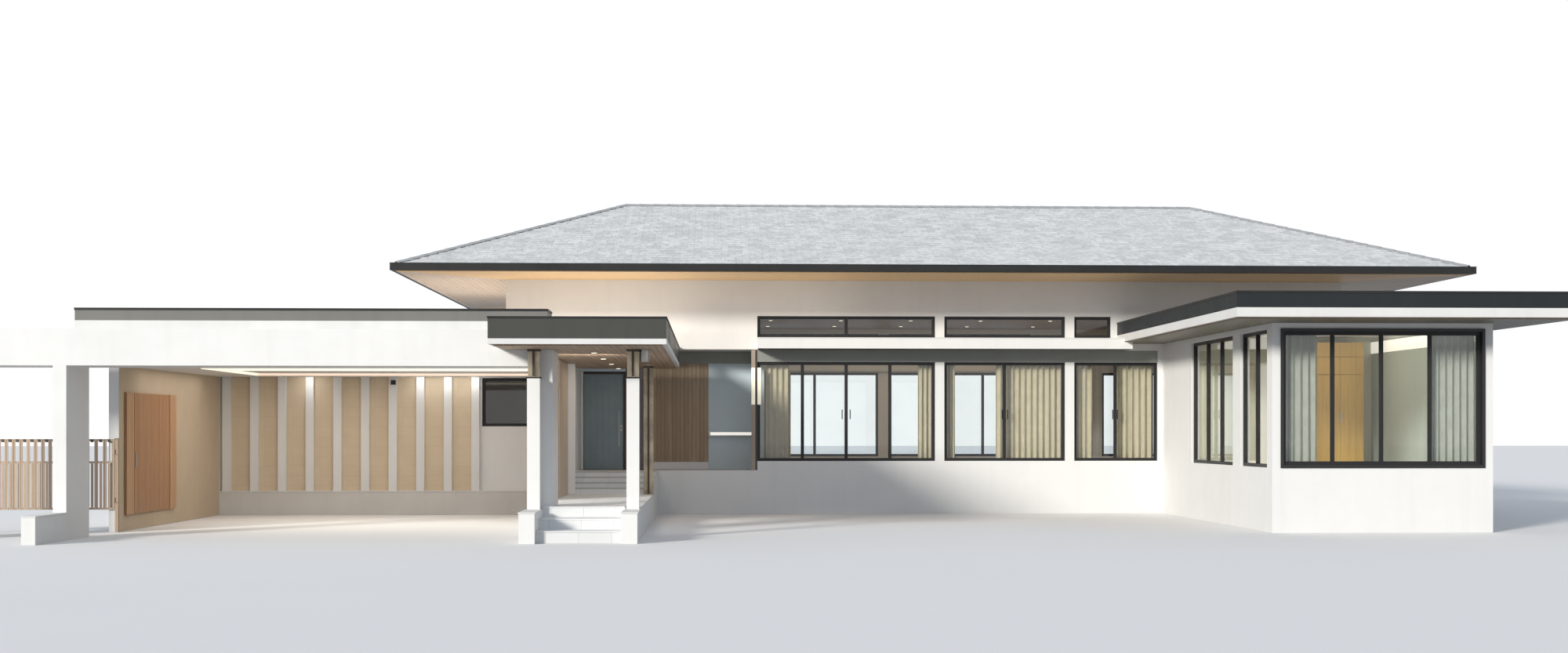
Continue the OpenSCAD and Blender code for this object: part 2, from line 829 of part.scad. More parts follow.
// Hinge eyes on the door leaf's back
module door_eyes() {
    for (z = door_hinges) difference() {
        union() {
            translate([door_pin_x, door_pin_y, z + lift]) cylinder(r = knuckle_r, h = knuckle_h);
            block([leaf_x, leaf_x + lug_l], [leaf_back, door_pin_y + pin_r],
                  [z + lift, z + lift + knuckle_h]);
        }
        translate([door_pin_x, door_pin_y, z]) cylinder(r = pin_r + play, h = knuckle_h + 2 * lift);
    }
}

// Entrance door leaf
module entrance_door() {
    color("steelblue") site() {
        block([leaf_x, leaf_x + door_w], [leaf_y, leaf_back], [leaf_z, leaf_top]);
        door_eyes();
    }
}

// Upright pull handle on two studs
module door_handle() {
    x = leaf_x + door_w - handle_in;
    z = floor_z + handle_up;
    color("silver") site() {
        translate([x, leaf_y - handle_off, z]) cylinder(r = handle_r, h = handle_l);
        for (s = [handle_in, handle_l - handle_in])
            translate([x, leaf_y, z + s]) rotate([90, 0, 0]) cylinder(r = stud_r, h = handle_off);
    }
}

// Timber-clad wall in the recess and the cladding beside the walkway
module timber_cladding() {
    color("saddlebrown") site() {
        block([timber_x, plain_x], [recess_y, recess_y + wall_t], [floor_z, recess_top]);
        block([recess_x, recess_x + clad_t],
              [walk_wall_y + clad_set, walk_wall_y + clad_set + clad_w],
              [walk_z, canopy_z - lining_t]);
    }
}

// The three broad uprights of the open bay's frame
module bay_uprights() {
    color("white") site()
        for (x = [0, blade_x, leg_x])
            block([x, x + post_w], [portal_y, portal_back], [0, beam_z]);
}

// Deep beam over the uprights
module bay_beam() {
    color("white") site() block([0, portal_end], [portal_y, portal_back], [beam_z, beam_top]);
}

// Low wall before the left upright and the low walls beside the front steps
module low_walls() {
    color("white") site() {
        block([blade_x, blade_x + post_w], [portal_y - kerb_l, portal_y], [0, kerb_h]);
        for (x = [cheek_x, walk_right - cheek_w])
            block([x, x + cheek_w], [cheek_y, portal_y], [0, cheek_h]);
    }
}

// Left wall of the bay and of the rooms behind it
module bay_left_wall() {
    color("white") site() block([left_wall_x, left_wall_in], [left_wall_y, back_in], [0, beam_top]);
}

// Back wall of the bay and back wall of the rooms behind it, each with one window opening
module annex_walls() {
    z = [kitchen_z, kitchen_z + kitchen_h];
    color("white") site() {
        difference() {
            block([left_wall_in, walk_wall_x], [main_y, main_in], [0, beam_top]);
            block([kitchen_x, kitchen_x + kitchen_w], [main_y - eps, main_in + eps], z);
        }
        difference() {
            block([left_wall_x, main_x], [back_in, back_y], [0, beam_top]);
            block([annex_win_x, annex_win_x + kitchen_w], [back_in - eps, back_y + eps], z);
        }
    }
}

// Wall between the bay and the walkway, running on beside the entrance recess
module walkway_wall() {
    color("white") site() upright_y(walk_wall_x, 0, 0, wall_t)
        polygon([[walk_wall_y, 0], [main_in, 0], [main_in, floor_z],
                 [recess_y + wall_t, floor_z], [recess_y + wall_t, recess_top],
                 [main_in, recess_top], [main_in, beam_top], [walk_wall_y, beam_top]]);
}

// Flat roof over the bay and the rooms behind it
module flat_roof() {
    color("gainsboro") site() translate([0, 0, beam_top]) linear_extrude(bay_roof_t)
        polygon([[flat_left, flat_front], [flat_right, flat_front], [flat_right, main_y],
                 [main_x, main_y], [main_x, flat_back], [flat_left, flat_back]]);
}

// Dark upstand round the flat roof's open edges
module flat_roof_fascia() {
    z = bay_roof_top;
    color("darkolivegreen") site() translate([0, 0, z]) linear_extrude(bay_fascia_h) {
        polygon([[main_x, flat_back], [flat_left, flat_back], [flat_left, flat_front],
                 [flat_right, flat_front], [flat_right, flat_front + bay_return_l],
                 [flat_right - fascia_t, flat_front + bay_return_l],
                 [flat_right - fascia_t, flat_front + fascia_t],
                 [flat_left + fascia_t, flat_front + fascia_t],
                 [flat_left + fascia_t, flat_back - fascia_t], [main_x, flat_back - fascia_t]]);
    }
}

// Ceilings of the bay and of the entrance recess
module white_ceilings() {
    color("white") site() {
        block([left_wall_in, walk_wall_x], [portal_back, main_y],
              [bay_ceiling_z, bay_ceiling_z + bay_ceiling_t]);
        block([walk_wall_x, win1_x + wall_t], [main_in, recess_y + wall_t],
              [recess_top, recess_top + bay_ceiling_t]);
    }
}

// White upright fins on the bay's back wall
module bay_fins() {
    color("white") site()
        for (i = [0:fin_count - 1])
            block([fin_x + i * fin_step, fin_x + i * fin_step + fin_w],
                  [main_y - fin_out, main_y], [base_h, bay_ceiling_z]);
}

// Tan panels between the fins
module bay_panels() {
    color("tan") site()
        for (i = [0:fin_count - 1])
            block([max(left_wall_in, fin_x + (i - 1) * fin_step + fin_w),
                   fin_x + i * fin_step],
                  [main_y - panel_t, main_y], [base_h, bay_ceiling_z]);
}

// Base course along the bay's back wall
module bay_base() {
    color("gray") site()
        block([left_wall_in, walk_wall_x], [main_y - base_out, main_y], [0, base_h]);
}

// Timber doors in the bay's left wall
module store_doors() {
    y = left_wall_y + store_set;
    color("peru") site()
        for (i = [0:3])
            translate([0, i * (store_leaf_w + store_gap), 0])
                block([left_wall_in, left_wall_in + store_t], [y, y + store_leaf_w],
                      [store_foot, store_top]);
}

// Flat roof of the garden wing
module wing_roof() {
    color("white") site()
        block([wing_x - wing_roof_side, right_x + wing_roof_side],
              [wing_y - wing_roof_front, main_y], [wing_top, wing_roof_top]);
}

// Dark fascia on three sides of that roof
module wing_fascia() {
    x = [wing_x - wing_roof_side, right_x + wing_roof_side];
    y = [wing_y - wing_roof_front, main_y];
    color("darkslategray") site() translate([0, 0, wing_roof_top]) linear_extrude(wing_fascia_h)
        polygon([[x[0], y[1]], [x[0], y[0]], [x[1], y[0]], [x[1], y[1]],
                 [x[1] - fascia_t, y[1]], [x[1] - fascia_t, y[0] + fascia_t],
                 [x[0] + fascia_t, y[0] + fascia_t], [x[0] + fascia_t, y[1]]]);
}

// Timber linings under the wing roof's overhang and, inside a pale edge, under the canopy
module timber_linings() {
    x = [wing_x - wing_roof_side + fascia_t, right_x + wing_roof_side - fascia_t];
    y = wing_y - wing_roof_front + fascia_t;
    edge = canopy_fascia_t;
    color("sienna") site() {
        translate([0, 0, wing_top - lining_t]) linear_extrude(lining_t)
            polygon([[x[0], y], [x[1], y], [x[1], main_y], [right_x, main_y],
                     [right_x, wing_y], [wing_x, wing_y], [wing_x, main_y], [x[0], main_y]]);
        translate([0, 0, canopy_z - lining_t]) linear_extrude(lining_t)
            polygon([[canopy_x + edge, edge], [canopy_right - edge, edge],
                     [canopy_right - edge, main_y - lining_t],
                     [recess_x + lining_t, main_y - lining_t],
                     [recess_x + lining_t, portal_back + lining_t],
                     [portal_end + lining_t, portal_back + lining_t],
                     [portal_end + lining_t, portal_y - lining_t],
                     [canopy_x + edge, portal_y - lining_t]]);
    }
}

// Inner back wall of the wing's room
module bedroom_wall() {
    color("beige") site()
        block([wing_x + wall_t, right_in], [bedroom_y, bedroom_y + partition_t],
              [floor_z, wing_top]);
}

// Built-in cupboard against that wall
module cupboard() {
    x = right_in - cupboard_set;
    color("peru") site()
        block([x - cupboard_w, x], [bedroom_y - cupboard_d, bedroom_y],
              [floor_z, floor_z + cupboard_h]);
}

// Frames and mullions of every window
module window_frames() {
    color("dimgray") site() windows(0);
}

// Panes of every window
module window_glass() {
    color([0.6, 0.75, 0.8, 0.5]) site() windows(1);
}

// Canopy slab, its pale lower band flush with the fascia, and its top deck
module canopy() {
    x = [canopy_x + canopy_fascia_t, canopy_right - canopy_fascia_t];
    color("white") site() {
        translate([0, 0, canopy_z]) linear_extrude(pale_band_h)
            polygon([[canopy_x, 0], [canopy_right, 0], [canopy_right, main_y],
                     [recess_x, main_y], [recess_x, portal_back], [portal_end, portal_back],
                     [portal_end, portal_y], [canopy_x, portal_y]]);
        translate([0, 0, canopy_fascia_z]) linear_extrude(canopy_t - pale_band_h)
            polygon([[x[0], canopy_fascia_t], [x[1], canopy_fascia_t], [x[1], main_y],
                     [recess_x, main_y], [recess_x, portal_back], [portal_end, portal_back],
                     [portal_end, portal_y], [x[0], portal_y]]);
        translate([0, 0, deck_z]) linear_extrude(deck_t)
            polygon([[x[0], canopy_fascia_t], [x[1], canopy_fascia_t], [x[1], main_y],
                     [flat_right, main_y], [flat_right, portal_back], [portal_end, portal_back],
                     [portal_end, portal_y], [x[0], portal_y]]);
    }
}

// Dark fascia round the canopy's open edges
module canopy_fascia() {
    t = canopy_fascia_t;
    color("darkolivegreen") site() translate([0, 0, canopy_fascia_z])
        linear_extrude(canopy_fascia_h)
            polygon([[canopy_x, portal_y], [canopy_x, 0], [canopy_right, 0],
                     [canopy_right, main_y], [canopy_right - t, main_y],
                     [canopy_right - t, t], [canopy_x + t, t], [canopy_x + t, portal_y]]);
}

// White porch columns on the low walls
module porch_columns() {
    color("white") site()
        for (x = column_xs)
            block([x, x + column_w], [column_y, column_y + column_w], [cheek_h, column_top]);
}

// A bronze post of two crossed bars, w wide, between two heights
module cross_post(x, y, z, w) {
    a = (w - bronze_t) / 2;
    b = a + bronze_t;
    translate([x, y, z[0]]) linear_extrude(z[1] - z[0])
        polygon([[a, 0], [b, 0], [b, a], [w, a], [w, b], [b, b],
                 [b, w], [a, w], [a, b], [0, b], [0, a], [a, a]]);
}

// Bronze posts: short ones on the columns, a long one beside the entrance flight, and a slim one
// at the corner of the entrance recess
module bronze_posts() {
    c = (column_w - bronze_w) / 2;
    top = canopy_z - lining_t;
    color("darkgoldenrod") site() {
        for (x = column_xs) cross_post(x + c, column_y + c, [column_top, top], bronze_w);
        cross_post(walk_right - bronze_w, flight_y - rear_post_gap - bronze_w,
                   [walk_z, top], bronze_w);
        cross_post(win1_x - slim_w, main_y, [floor_z, recess_top], slim_w);
    }
}

// Raised walkway between the two flights
module walkway() {
    color("lightgray") site() linear_extrude(walk_z)
        polygon([[cheek_x + cheek_w, walk_y], [walk_right - cheek_w, walk_y],
                 [walk_right - cheek_w, portal_y], [walk_right, portal_y],
                 [walk_right, flight_y], [recess_x, flight_y], [recess_x, portal_back],
                 [portal_end, portal_back], [portal_end, portal_y],
                 [cheek_x + cheek_w, portal_y]]);
}

// Front flight between the low walls, and the entrance flight with its platform
module steps() {
    riser = walk_z / front_risers;
    door_riser = (floor_z - walk_z) / door_risers;
    color("lightgray") site() {
        upright_y(cheek_x + cheek_w, 0, 0, walk_w - 2 * cheek_w)
            polygon(concat([[step_y, 0]],
                [for (i = [0:front_risers - 2], k = [0, 1])
                    [step_y + (i + k) * front_tread, (i + 1) * riser]],
                [[walk_y, 0]]));
        upright_y(recess_x, 0, 0, walk_right - recess_x)
            polygon(concat([[flight_y, 0]],
                [for (i = [0:door_risers - 2], k = [0, 1])
                    [flight_y + (i + k) * door_tread, walk_z + (i + 1) * door_riser]],
                [[platform_y, floor_z], [main_y, floor_z], [main_y, 0]]));
    }
}

// Indoor floor slab
module floors() {
    color("tan") site() translate([0, 0, floor_z - floor_t]) linear_extrude(floor_t)
        polygon([[left_wall_in, main_in], [wing_x + wall_t, main_in], [wing_x + wall_t, wing_in],
                 [right_in, wing_in], [right_in, back_in], [left_wall_in, back_in]]);
}

// Rails and slats of a fence panel between two ranges along x
module slats(x) {
    n = floor((x[1] - x[0] - slat_w) / slat_step);
    step = (x[1] - x[0] - slat_w) / n;
    y = [fence_y, fence_y + fence_t];
    half = fence_t / 2;
    for (z = [fence_foot, mid_rail_z, fence_top - rail_h])
        block(x, y, [z, z + rail_h]);
    for (i = [0:n])
        block([x[0] + i * step, x[0] + i * step + slat_w], [y[0], y[0] + half],
              [fence_foot, fence_top]);
}

// Hinge pins of the gate with their plates on the post
module gate_pins() {
    for (z = gate_hinges) {
        translate([gate_pin_x, gate_pin_y, z - plate_t])
            cylinder(r = gate_knuckle_r - lift, h = plate_t);
        block([gate_pin_x, hinge_post_x + fence_t], [gate_pin_y - fence_t / 4, fence_front],
              [z - plate_t, z]);
        translate([gate_pin_x, gate_pin_y, z - plate_t])
            cylinder(r = gate_pin_r, h = plate_t + lift + knuckle_h);
    }
}

// Slatted fence across the side way, with the posts of the gate
module side_fence() {
    color("saddlebrown") site() {
        for (x = [0, lock_post_x, hinge_post_x])
            block([x, x + fence_post], [fence_front, fence_back], [0, fence_top]);
        slats([fence_post, lock_post_x]);
        gate_pins();
    }
}

// Slatted gate leaf with its hinge eyes
module side_gate() {
    color("saddlebrown") site() {
        slats([gate_x, gate_end]);
        for (z = gate_hinges) difference() {
            union() {
                translate([gate_pin_x, gate_pin_y, z + lift])
                    cylinder(r = gate_knuckle_r, h = knuckle_h);
                block([gate_end - lug_l, gate_pin_x], [gate_pin_y - gate_pin_r, fence_y],
                      [z + lift, z + lift + knuckle_h]);
                block([gate_end - lug_l, gate_end], [fence_y, fence_y + fence_t / 2],
                      [z + lift, z + lift + knuckle_h]);
            }
            translate([gate_pin_x, gate_pin_y, z])
                cylinder(r = gate_pin_r + play, h = knuckle_h + 2 * lift);
        }
    }
}

// One hanging curtain behind the front windows' wall (inner face y) under a rail at height z
module drape(x, y, z) {
    block(x, [y + curtain_set, y + curtain_set + curtain_d], [floor_z + curtain_foot, z]);
}

// Hanging curtains
module curtains() {
    color("linen") site() {
        for (c = front_drapes) {
            w = front_wins[c[0]];
            drape([w[0] + c[1] * w[1], w[0] + c[2] * w[1]], main_in, head_z + curtain_set);
        }
        for (c = back_drapes) {
            w = back_wins[c[0]];
            drape([w[0] + c[1] * w[1], w[0] + c[2] * w[1]],
                  back_in - 2 * curtain_set - curtain_d, head_z + curtain_set);
        }
        for (c = wing_drapes)
            drape([box_x + c[0] * box_w, box_x + c[1] * box_w], wing_in,
                  wing_head + curtain_set);
    }
}

// Curtain rails on the walls' inner faces
module curtain_rails() {
    d = curtain_set + curtain_d;
    z = head_z + curtain_set;
    color("white") site() {
        block([win1_x + wall_t, wing_x - end_pier_w], [main_in, main_in + d], [z, z + track_h]);
        block([back_a_x, back_b_x + back_b_w], [back_in - d, back_in], [z, z + track_h]);
        block([box_x + curtain_set, right_in], [wing_in, wing_in + d],
              [wing_head + curtain_set, wing_head + curtain_set + track_h]);
    }
}

roof_shell();
gutter();
eaves_soffit();
main_ceiling();
upper_walls();
end_walls();
upper_infill_walls();
lintel_walls();
window_piers();
strip_piers();
sill_walls();
ledges();
side_sill_walls();
side_head_walls();
side_piers();
wing_front_wall();
wing_box_frame();
recess_base();
recess_side_wall();
recess_back_wall();
door_frame();
entrance_door();
door_handle();
timber_cladding();
bay_uprights();
bay_beam();
low_walls();
bay_left_wall();
annex_walls();
walkway_wall();
flat_roof();
flat_roof_fascia();
white_ceilings();
bay_fins();
bay_panels();
bay_base();
store_doors();
wing_roof();
wing_fascia();
timber_linings();
bedroom_wall();
cupboard();
window_frames();
window_glass();
canopy();
canopy_fascia();
porch_columns();
bronze_posts();
walkway();
steps();
floors();
side_fence();
side_gate();
curtains();
curtain_rails();
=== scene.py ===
import math
import random

import bmesh
import bpy
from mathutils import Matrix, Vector


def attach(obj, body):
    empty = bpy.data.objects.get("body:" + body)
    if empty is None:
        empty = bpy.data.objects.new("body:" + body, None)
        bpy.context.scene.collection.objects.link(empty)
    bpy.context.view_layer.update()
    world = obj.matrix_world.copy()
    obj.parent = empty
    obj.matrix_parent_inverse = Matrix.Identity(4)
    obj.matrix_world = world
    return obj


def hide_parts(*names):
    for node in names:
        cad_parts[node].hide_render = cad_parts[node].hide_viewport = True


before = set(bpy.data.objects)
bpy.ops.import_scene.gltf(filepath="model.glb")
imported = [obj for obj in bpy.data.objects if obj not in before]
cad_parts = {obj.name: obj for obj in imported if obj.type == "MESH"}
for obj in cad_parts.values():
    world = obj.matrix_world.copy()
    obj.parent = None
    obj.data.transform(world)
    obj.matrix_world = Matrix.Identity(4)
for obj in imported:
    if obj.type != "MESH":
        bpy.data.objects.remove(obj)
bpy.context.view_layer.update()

# Rendered walls
# The walls are masonry with a smooth mineral render, painted off-white. They run down to the
# ground, where rain and dust have left the paint a little duller and faintly streaked.

def add(tree, kind, inputs=(), **settings):
    made = tree.nodes.new(kind)
    for key, value in settings.items():
        setattr(made, key, value)
    for key, value in dict(inputs).items():
        if isinstance(value, bpy.types.NodeSocket):
            tree.links.new(value, made.inputs[key])
        else:
            made.inputs[key].default_value = value
    return made


def feed(node, label, value):
    node.id_data.links.new(value, node.inputs[label])


def maths(operation, a, b=0.0):
    tree = (a if isinstance(a, bpy.types.NodeSocket) else b).id_data
    return add(tree, "ShaderNodeMath", {0: a, 1: b}, operation=operation).outputs[0]


def times(a, b):
    return maths("MULTIPLY", a, b)


def spread(value, low, high, to_low=0.0, to_high=1.0):
    ranges = {"Value": value, "From Min": low, "From Max": high,
              "To Min": to_low, "To Max": to_high}
    return add(value.id_data, "ShaderNodeMapRange", ranges).outputs[0]


def mixed(share, a, b):
    made = add(share.id_data, "ShaderNodeMix", {0: share, 6: a, 7: b}, data_type="RGBA")
    return made.outputs[2]


def noise(place, scale, detail=2.0, roughness=0.5, distortion=0.0):
    made = add(place.id_data, "ShaderNodeTexNoise",
               {"Vector": place, "Scale": scale, "Detail": detail, "Roughness": roughness,
                "Distortion": distortion})
    return made.outputs[0]


def group(name, inputs, outputs):
    made = bpy.data.node_groups.new(name, "ShaderNodeTree")
    for label, kind in inputs:
        made.interface.new_socket(label, in_out="INPUT", socket_type="NodeSocket" + kind)
    for label, kind in outputs:
        made.interface.new_socket(label, in_out="OUTPUT", socket_type="NodeSocket" + kind)
    return made, add(made, "NodeGroupInput").outputs, add(made, "NodeGroupOutput")


weathering, given, result = group(
    "weathering",
    [("Vector", "Vector"), ("Color", "Color"), ("Shade", "Color"), ("Blotch Scale", "Float"),
     ("Blotches", "Float"), ("Streaks", "Float"), ("Grain Scale", "Float")],
    [("Color", "Color"), ("Height", "Float"), ("Dullness", "Float")])
cloud = spread(noise(given["Vector"], given["Blotch Scale"], 6.0, 0.62), 0.36, 0.68)
runs = add(weathering, "ShaderNodeVectorMath",
           {0: given["Vector"], 1: (3.0, 3.0, 0.22)}, operation="MULTIPLY").outputs[0]
runs = times(spread(noise(runs, 1.6, 5.0), 0.5, 0.78), given["Streaks"])
tint = mixed(times(cloud, given["Blotches"]), given["Color"], given["Shade"])
feed(result, "Color", mixed(runs, tint, given["Shade"]))
feed(result, "Height", noise(given["Vector"], given["Grain Scale"], 4.0, 0.7))
feed(result, "Dullness", cloud)


def finish(name, roughness, metallic=0.0, **extra):
    mat = bpy.data.materials.new(name)
    mat.use_nodes = True
    shader = mat.node_tree.nodes["Principled BSDF"]
    extra.update(Roughness=roughness, Metallic=metallic)
    for key, value in extra.items():
        shader.inputs[key.replace("_", " ")].default_value = value
    return mat, shader, add(mat.node_tree, "ShaderNodeTexCoord").outputs["Object"]


def worn(place, color, shade, blotch_scale, blotches, streaks, grain_scale):
    return add(place.id_data, "ShaderNodeGroup",
               {"Vector": place, "Color": (*color, 1), "Shade": (*shade, 1),
                "Blotch Scale": blotch_scale, "Blotches": blotches, "Streaks": streaks,
                "Grain Scale": grain_scale}, node_tree=weathering).outputs


def raise_by(shader, height, distance, strength=0.6):
    bump = add(shader.id_data, "ShaderNodeBump",
               {"Height": height, "Distance": distance, "Strength": strength})
    feed(shader, "Normal", bump.outputs[0])


def coated(name, color, shade, roughness, metallic=0.0, blotches=0.35, blotch_scale=0.9,
           streaks=0.25, grain_scale=300.0, relief=0.003, **extra):
    mat, shader, place = finish(name, roughness, metallic, **extra)
    coat = worn(place, color, shade, blotch_scale, blotches, streaks, grain_scale)
    feed(shader, "Base Color", coat["Color"])
    feed(shader, "Roughness", spread(coat["Dullness"], 0.0, 1.0, roughness - 0.05,
                                     min(roughness + 0.1, 1.0)))
    raise_by(shader, coat["Height"], relief)
    return mat


def dress(names, mat):
    for name in names.split():
        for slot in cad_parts[name].material_slots:
            slot.material = mat


white_render = coated("white_render", (0.81, 0.81, 0.8), (0.69, 0.69, 0.675), 0.75,
                      blotches=0.25, streaks=0.22, grain_scale=220.0, relief=0.0015)
dress("upper_walls end_walls upper_infill_walls lintel_walls window_piers strip_piers "
      "sill_walls side_sill_walls side_head_walls side_piers wing_front_wall recess_base "
      "recess_side_wall bay_uprights bay_beam bay_left_wall annex_walls walkway_wall",
      white_render)

# Floors, walkway and steps
# Concrete slabs carry polished tan tiles indoors and grey paving on the walkway. Every tread is
# a slab of its own, bedded on the flight with its nosing standing out a little.
PLAN_CENTRE = (16.41, 10.97)


def metres(x, y, z):
    return (x / 1000 - PLAN_CENTRE[0], y / 1000 - PLAN_CENTRE[1], z / 1000)


def settle(obj, bevel=0.0, body="house"):
    if bevel:
        rounding = obj.modifiers.new("rounding", "BEVEL")
        rounding.width = bevel
        rounding.segments = 2
        rounding.limit_method = "ANGLE"
    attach(obj, body)


def linked(name, data):
    obj = bpy.data.objects.new(name, data)
    bpy.context.scene.collection.objects.link(obj)
    return obj


def row_tree(name, shape, sizes):
    tree = bpy.data.node_groups.new(name, "GeometryNodeTree")
    labels = [("Geometry", "Geometry"), ("Count", "Int"), ("Step", "Vector"), *sizes,
              ("Turn", "Vector"), ("Material", "Material")]
    for label, kind in labels:
        tree.interface.new_socket(label, in_out="INPUT", socket_type="NodeSocket" + kind)
    tree.interface.new_socket("Geometry", in_out="OUTPUT", socket_type="NodeSocketGeometry")
    given = add(tree, "NodeGroupInput").outputs
    line = add(tree, "GeometryNodeMeshLine",
               {"Count": given["Count"], "Offset": given["Step"]}, mode="OFFSET").outputs[0]
    one = add(tree, shape, {label: given[label] for label, _ in sizes}).outputs[0]
    row = add(tree, "GeometryNodeInstanceOnPoints",
              {"Points": line, "Instance": one, "Rotation": given["Turn"]}).outputs[0]
    rows = add(tree, "GeometryNodeInstanceOnPoints",
               {"Points": given["Geometry"], "Instance": row}).outputs[0]
    real = add(tree, "GeometryNodeRealizeInstances", {"Geometry": rows}).outputs[0]
    done = add(tree, "GeometryNodeSetMaterial",
               {"Geometry": real, "Material": given["Material"]}).outputs[0]
    tree.links.new(done, add(tree, "NodeGroupOutput").inputs[0])
    return tree


def grow(name, tree, starts, slot, bevel, body, step, **inputs):
    seed = bpy.data.meshes.new(name)
    seed.from_pydata([metres(*p) for p in starts], [], [])
    obj = linked(name, seed)
    rows = obj.modifiers.new("rows", "NODES")
    rows.node_group = tree
    inputs["Step"] = tuple(s / 1000 for s in step)
    for item in tree.interface.items_tree:
        if item.in_out == "INPUT" and item.name in inputs:
            rows[item.identifier] = inputs[item.name]
    mesh = bpy.data.meshes.new_from_object(obj.evaluated_get(bpy.context.evaluated_depsgraph_get()))
    obj.modifiers.remove(rows)
    obj.data = mesh
    settle(obj, bevel, body)


block_rows = row_tree("rows of blocks", "GeometryNodeMeshCube", [("Size", "Vector")])


# Each start is a block's lowest corner. Places and sizes are the CAD's millimetres.
def blocks(name, starts, size, mat, slot, bevel=0.002, count=1, step=(0, 0, 0),
           body="house"):
    middle = [[p[i] + size[i] / 2 for i in range(3)] for p in starts]
    grow(name, block_rows, middle, slot, bevel, body, step, Count=count, Material=mat,
         Size=tuple(s / 1000 for s in size))


def to_edge(share):
    part = maths("FRACT", share)
    return maths("MINIMUM", part, maths("SUBTRACT", 1.0, part))


joints, given, result = group(
    "joints",
    [("Across", "Float"), ("Along", "Float"), ("Width", "Float"), ("Length", "Float"),
     ("Joint", "Float")],
    [("Joint", "Float"), ("Tone", "Float")])
cells = []
edges = []
for way, size in (("Across", "Width"), ("Along", "Length")):
    share = maths("DIVIDE", given[way], given[size])
    cells.append(maths("FLOOR", share))
    edges.append(times(to_edge(share), given[size]))
feed(result, "Joint", maths("LESS_THAN", maths("MINIMUM", *edges), times(given["Joint"], 0.5)))
cell = add(joints, "ShaderNodeCombineXYZ", {0: cells[0], 1: cells[1]}).outputs[0]
tone = add(joints, "ShaderNodeTexWhiteNoise", {"Vector": cell}, noise_dimensions="3D")
feed(result, "Tone", tone.outputs["Value"])


def split(place):
    return add(place.id_data, "ShaderNodeSeparateXYZ", {0: place}).outputs


def paved(name, color, shade, joint_color, width, length, joint, roughness, axes="XY",
          tones=0.5, relief=0.003):
    mat, shader, place = finish(name, roughness)
    xyz = split(place)
    laid = add(place.id_data, "ShaderNodeGroup",
               {"Across": xyz[axes[0]], "Along": xyz[axes[1]], "Width": width,
                "Length": length, "Joint": joint}, node_tree=joints).outputs
    slab = worn(place, color, shade, 2.4, 0.4, 0.0, 140.0)
    tint = mixed(times(laid["Tone"], tones), slab["Color"], (*shade, 1))
    feed(shader, "Base Color", mixed(laid["Joint"], tint, (*joint_color, 1)))
    raise_by(shader, maths("SUBTRACT", times(slab["Height"], 0.4), laid["Joint"]), relief)
    return mat


dress("floors", paved("floor_tiles", (0.42, 0.34, 0.27), (0.35, 0.28, 0.22),
                      (0.24, 0.2, 0.17), 0.6, 0.6, 0.004, 0.22))
dress("walkway steps", paved("grey_paving", (0.76, 0.77, 0.77), (0.68, 0.69, 0.69),
                             (0.42, 0.42, 0.42), 0.6, 0.6, 0.005, 0.6))

tread_stone = coated("tread_stone", (0.82, 0.83, 0.84), (0.72, 0.73, 0.74), 0.55, grain_scale=180.0)
flight_stone = coated("flight_stone", (0.44, 0.44, 0.43), (0.36, 0.36, 0.35), 0.55,
                      grain_scale=180.0)
blocks("front_treads", [(11440, 235, 200)], (1550, 640, 22), tread_stone, "concrete_grey",
       bevel=0.004, count=2, step=(0, 625, 200))
blocks("landing_edge", [(11440, 1485, 600)], (1550, 330, 18), tread_stone, "concrete_grey",
       bevel=0.004)
blocks("entrance_treads", [(11300, 8588, 720)], (1980, 362, 18), flight_stone, "concrete_grey",
       bevel=0.004, count=3, step=(0, 350, 120))
blocks("platform_edge", [(11300, 9638, 1080)], (1980, 300, 12), flight_stone, "concrete_grey",
       bevel=0.003)

# Low walls
# The low walls beside the steps and the kerb in the bay are rendered like the house. Each wears
# a thin painted coping slab that throws the rain off its faces.
dress("low_walls", white_render)
coping_white = coated("coping_white", (0.76, 0.76, 0.75), (0.64, 0.64, 0.62), 0.7,
                      streaks=0.15, grain_scale=60.0)
blocks("low_wall_copings", [(11125, 35, 550), (12985, 35, 550)], (320, 1250, 25), coping_white,
       "concrete_pale", bevel=0.004)
blocks("kerb_coping", [(2238, 88, 500)], (274, 1512, 22), coping_white, "concrete_pale",
       bevel=0.004)

# Open bay's left wall
# The left wall is lined with a tan coat on the bay's side. A broad store door of upright
# orange-brown boards is set between lighter frame boards.

def solid(base, low, high):
    turn = sum(a[0] * b[1] - b[0] * a[1] for a, b in zip(base, base[1:] + base[:1]))
    base = base if turn > 0 else base[::-1]
    n = len(base)
    verts = [metres(x, y, z) for z in (low, high) for x, y in base]
    faces = [tuple(range(n))[::-1], tuple(range(n, 2 * n))]
    faces += [(i, (i + 1) % n, n + (i + 1) % n, n + i) for i in range(n)]
    return verts, faces


def block(x, y, z):
    return solid([(x[0], y[0]), (x[1], y[0]), (x[1], y[1]), (x[0], y[1])], z[0], z[1])


def cast(name, shape, mat):
    mesh = bpy.data.meshes.new(name)
    shape.to_mesh(mesh)
    shape.free()
    mesh.materials.append(mat)
    return linked(name, mesh)


def piece(name, solids, mat, bevel=0.0):
    shape = bmesh.new()
    for verts, faces in solids:
        made = [shape.verts.new(v) for v in verts]
        for face in faces:
            shape.faces.new([made[i] for i in face])
    bmesh.ops.recalc_face_normals(shape, faces=shape.faces)
    settle(cast(name, shape, mat), bevel)


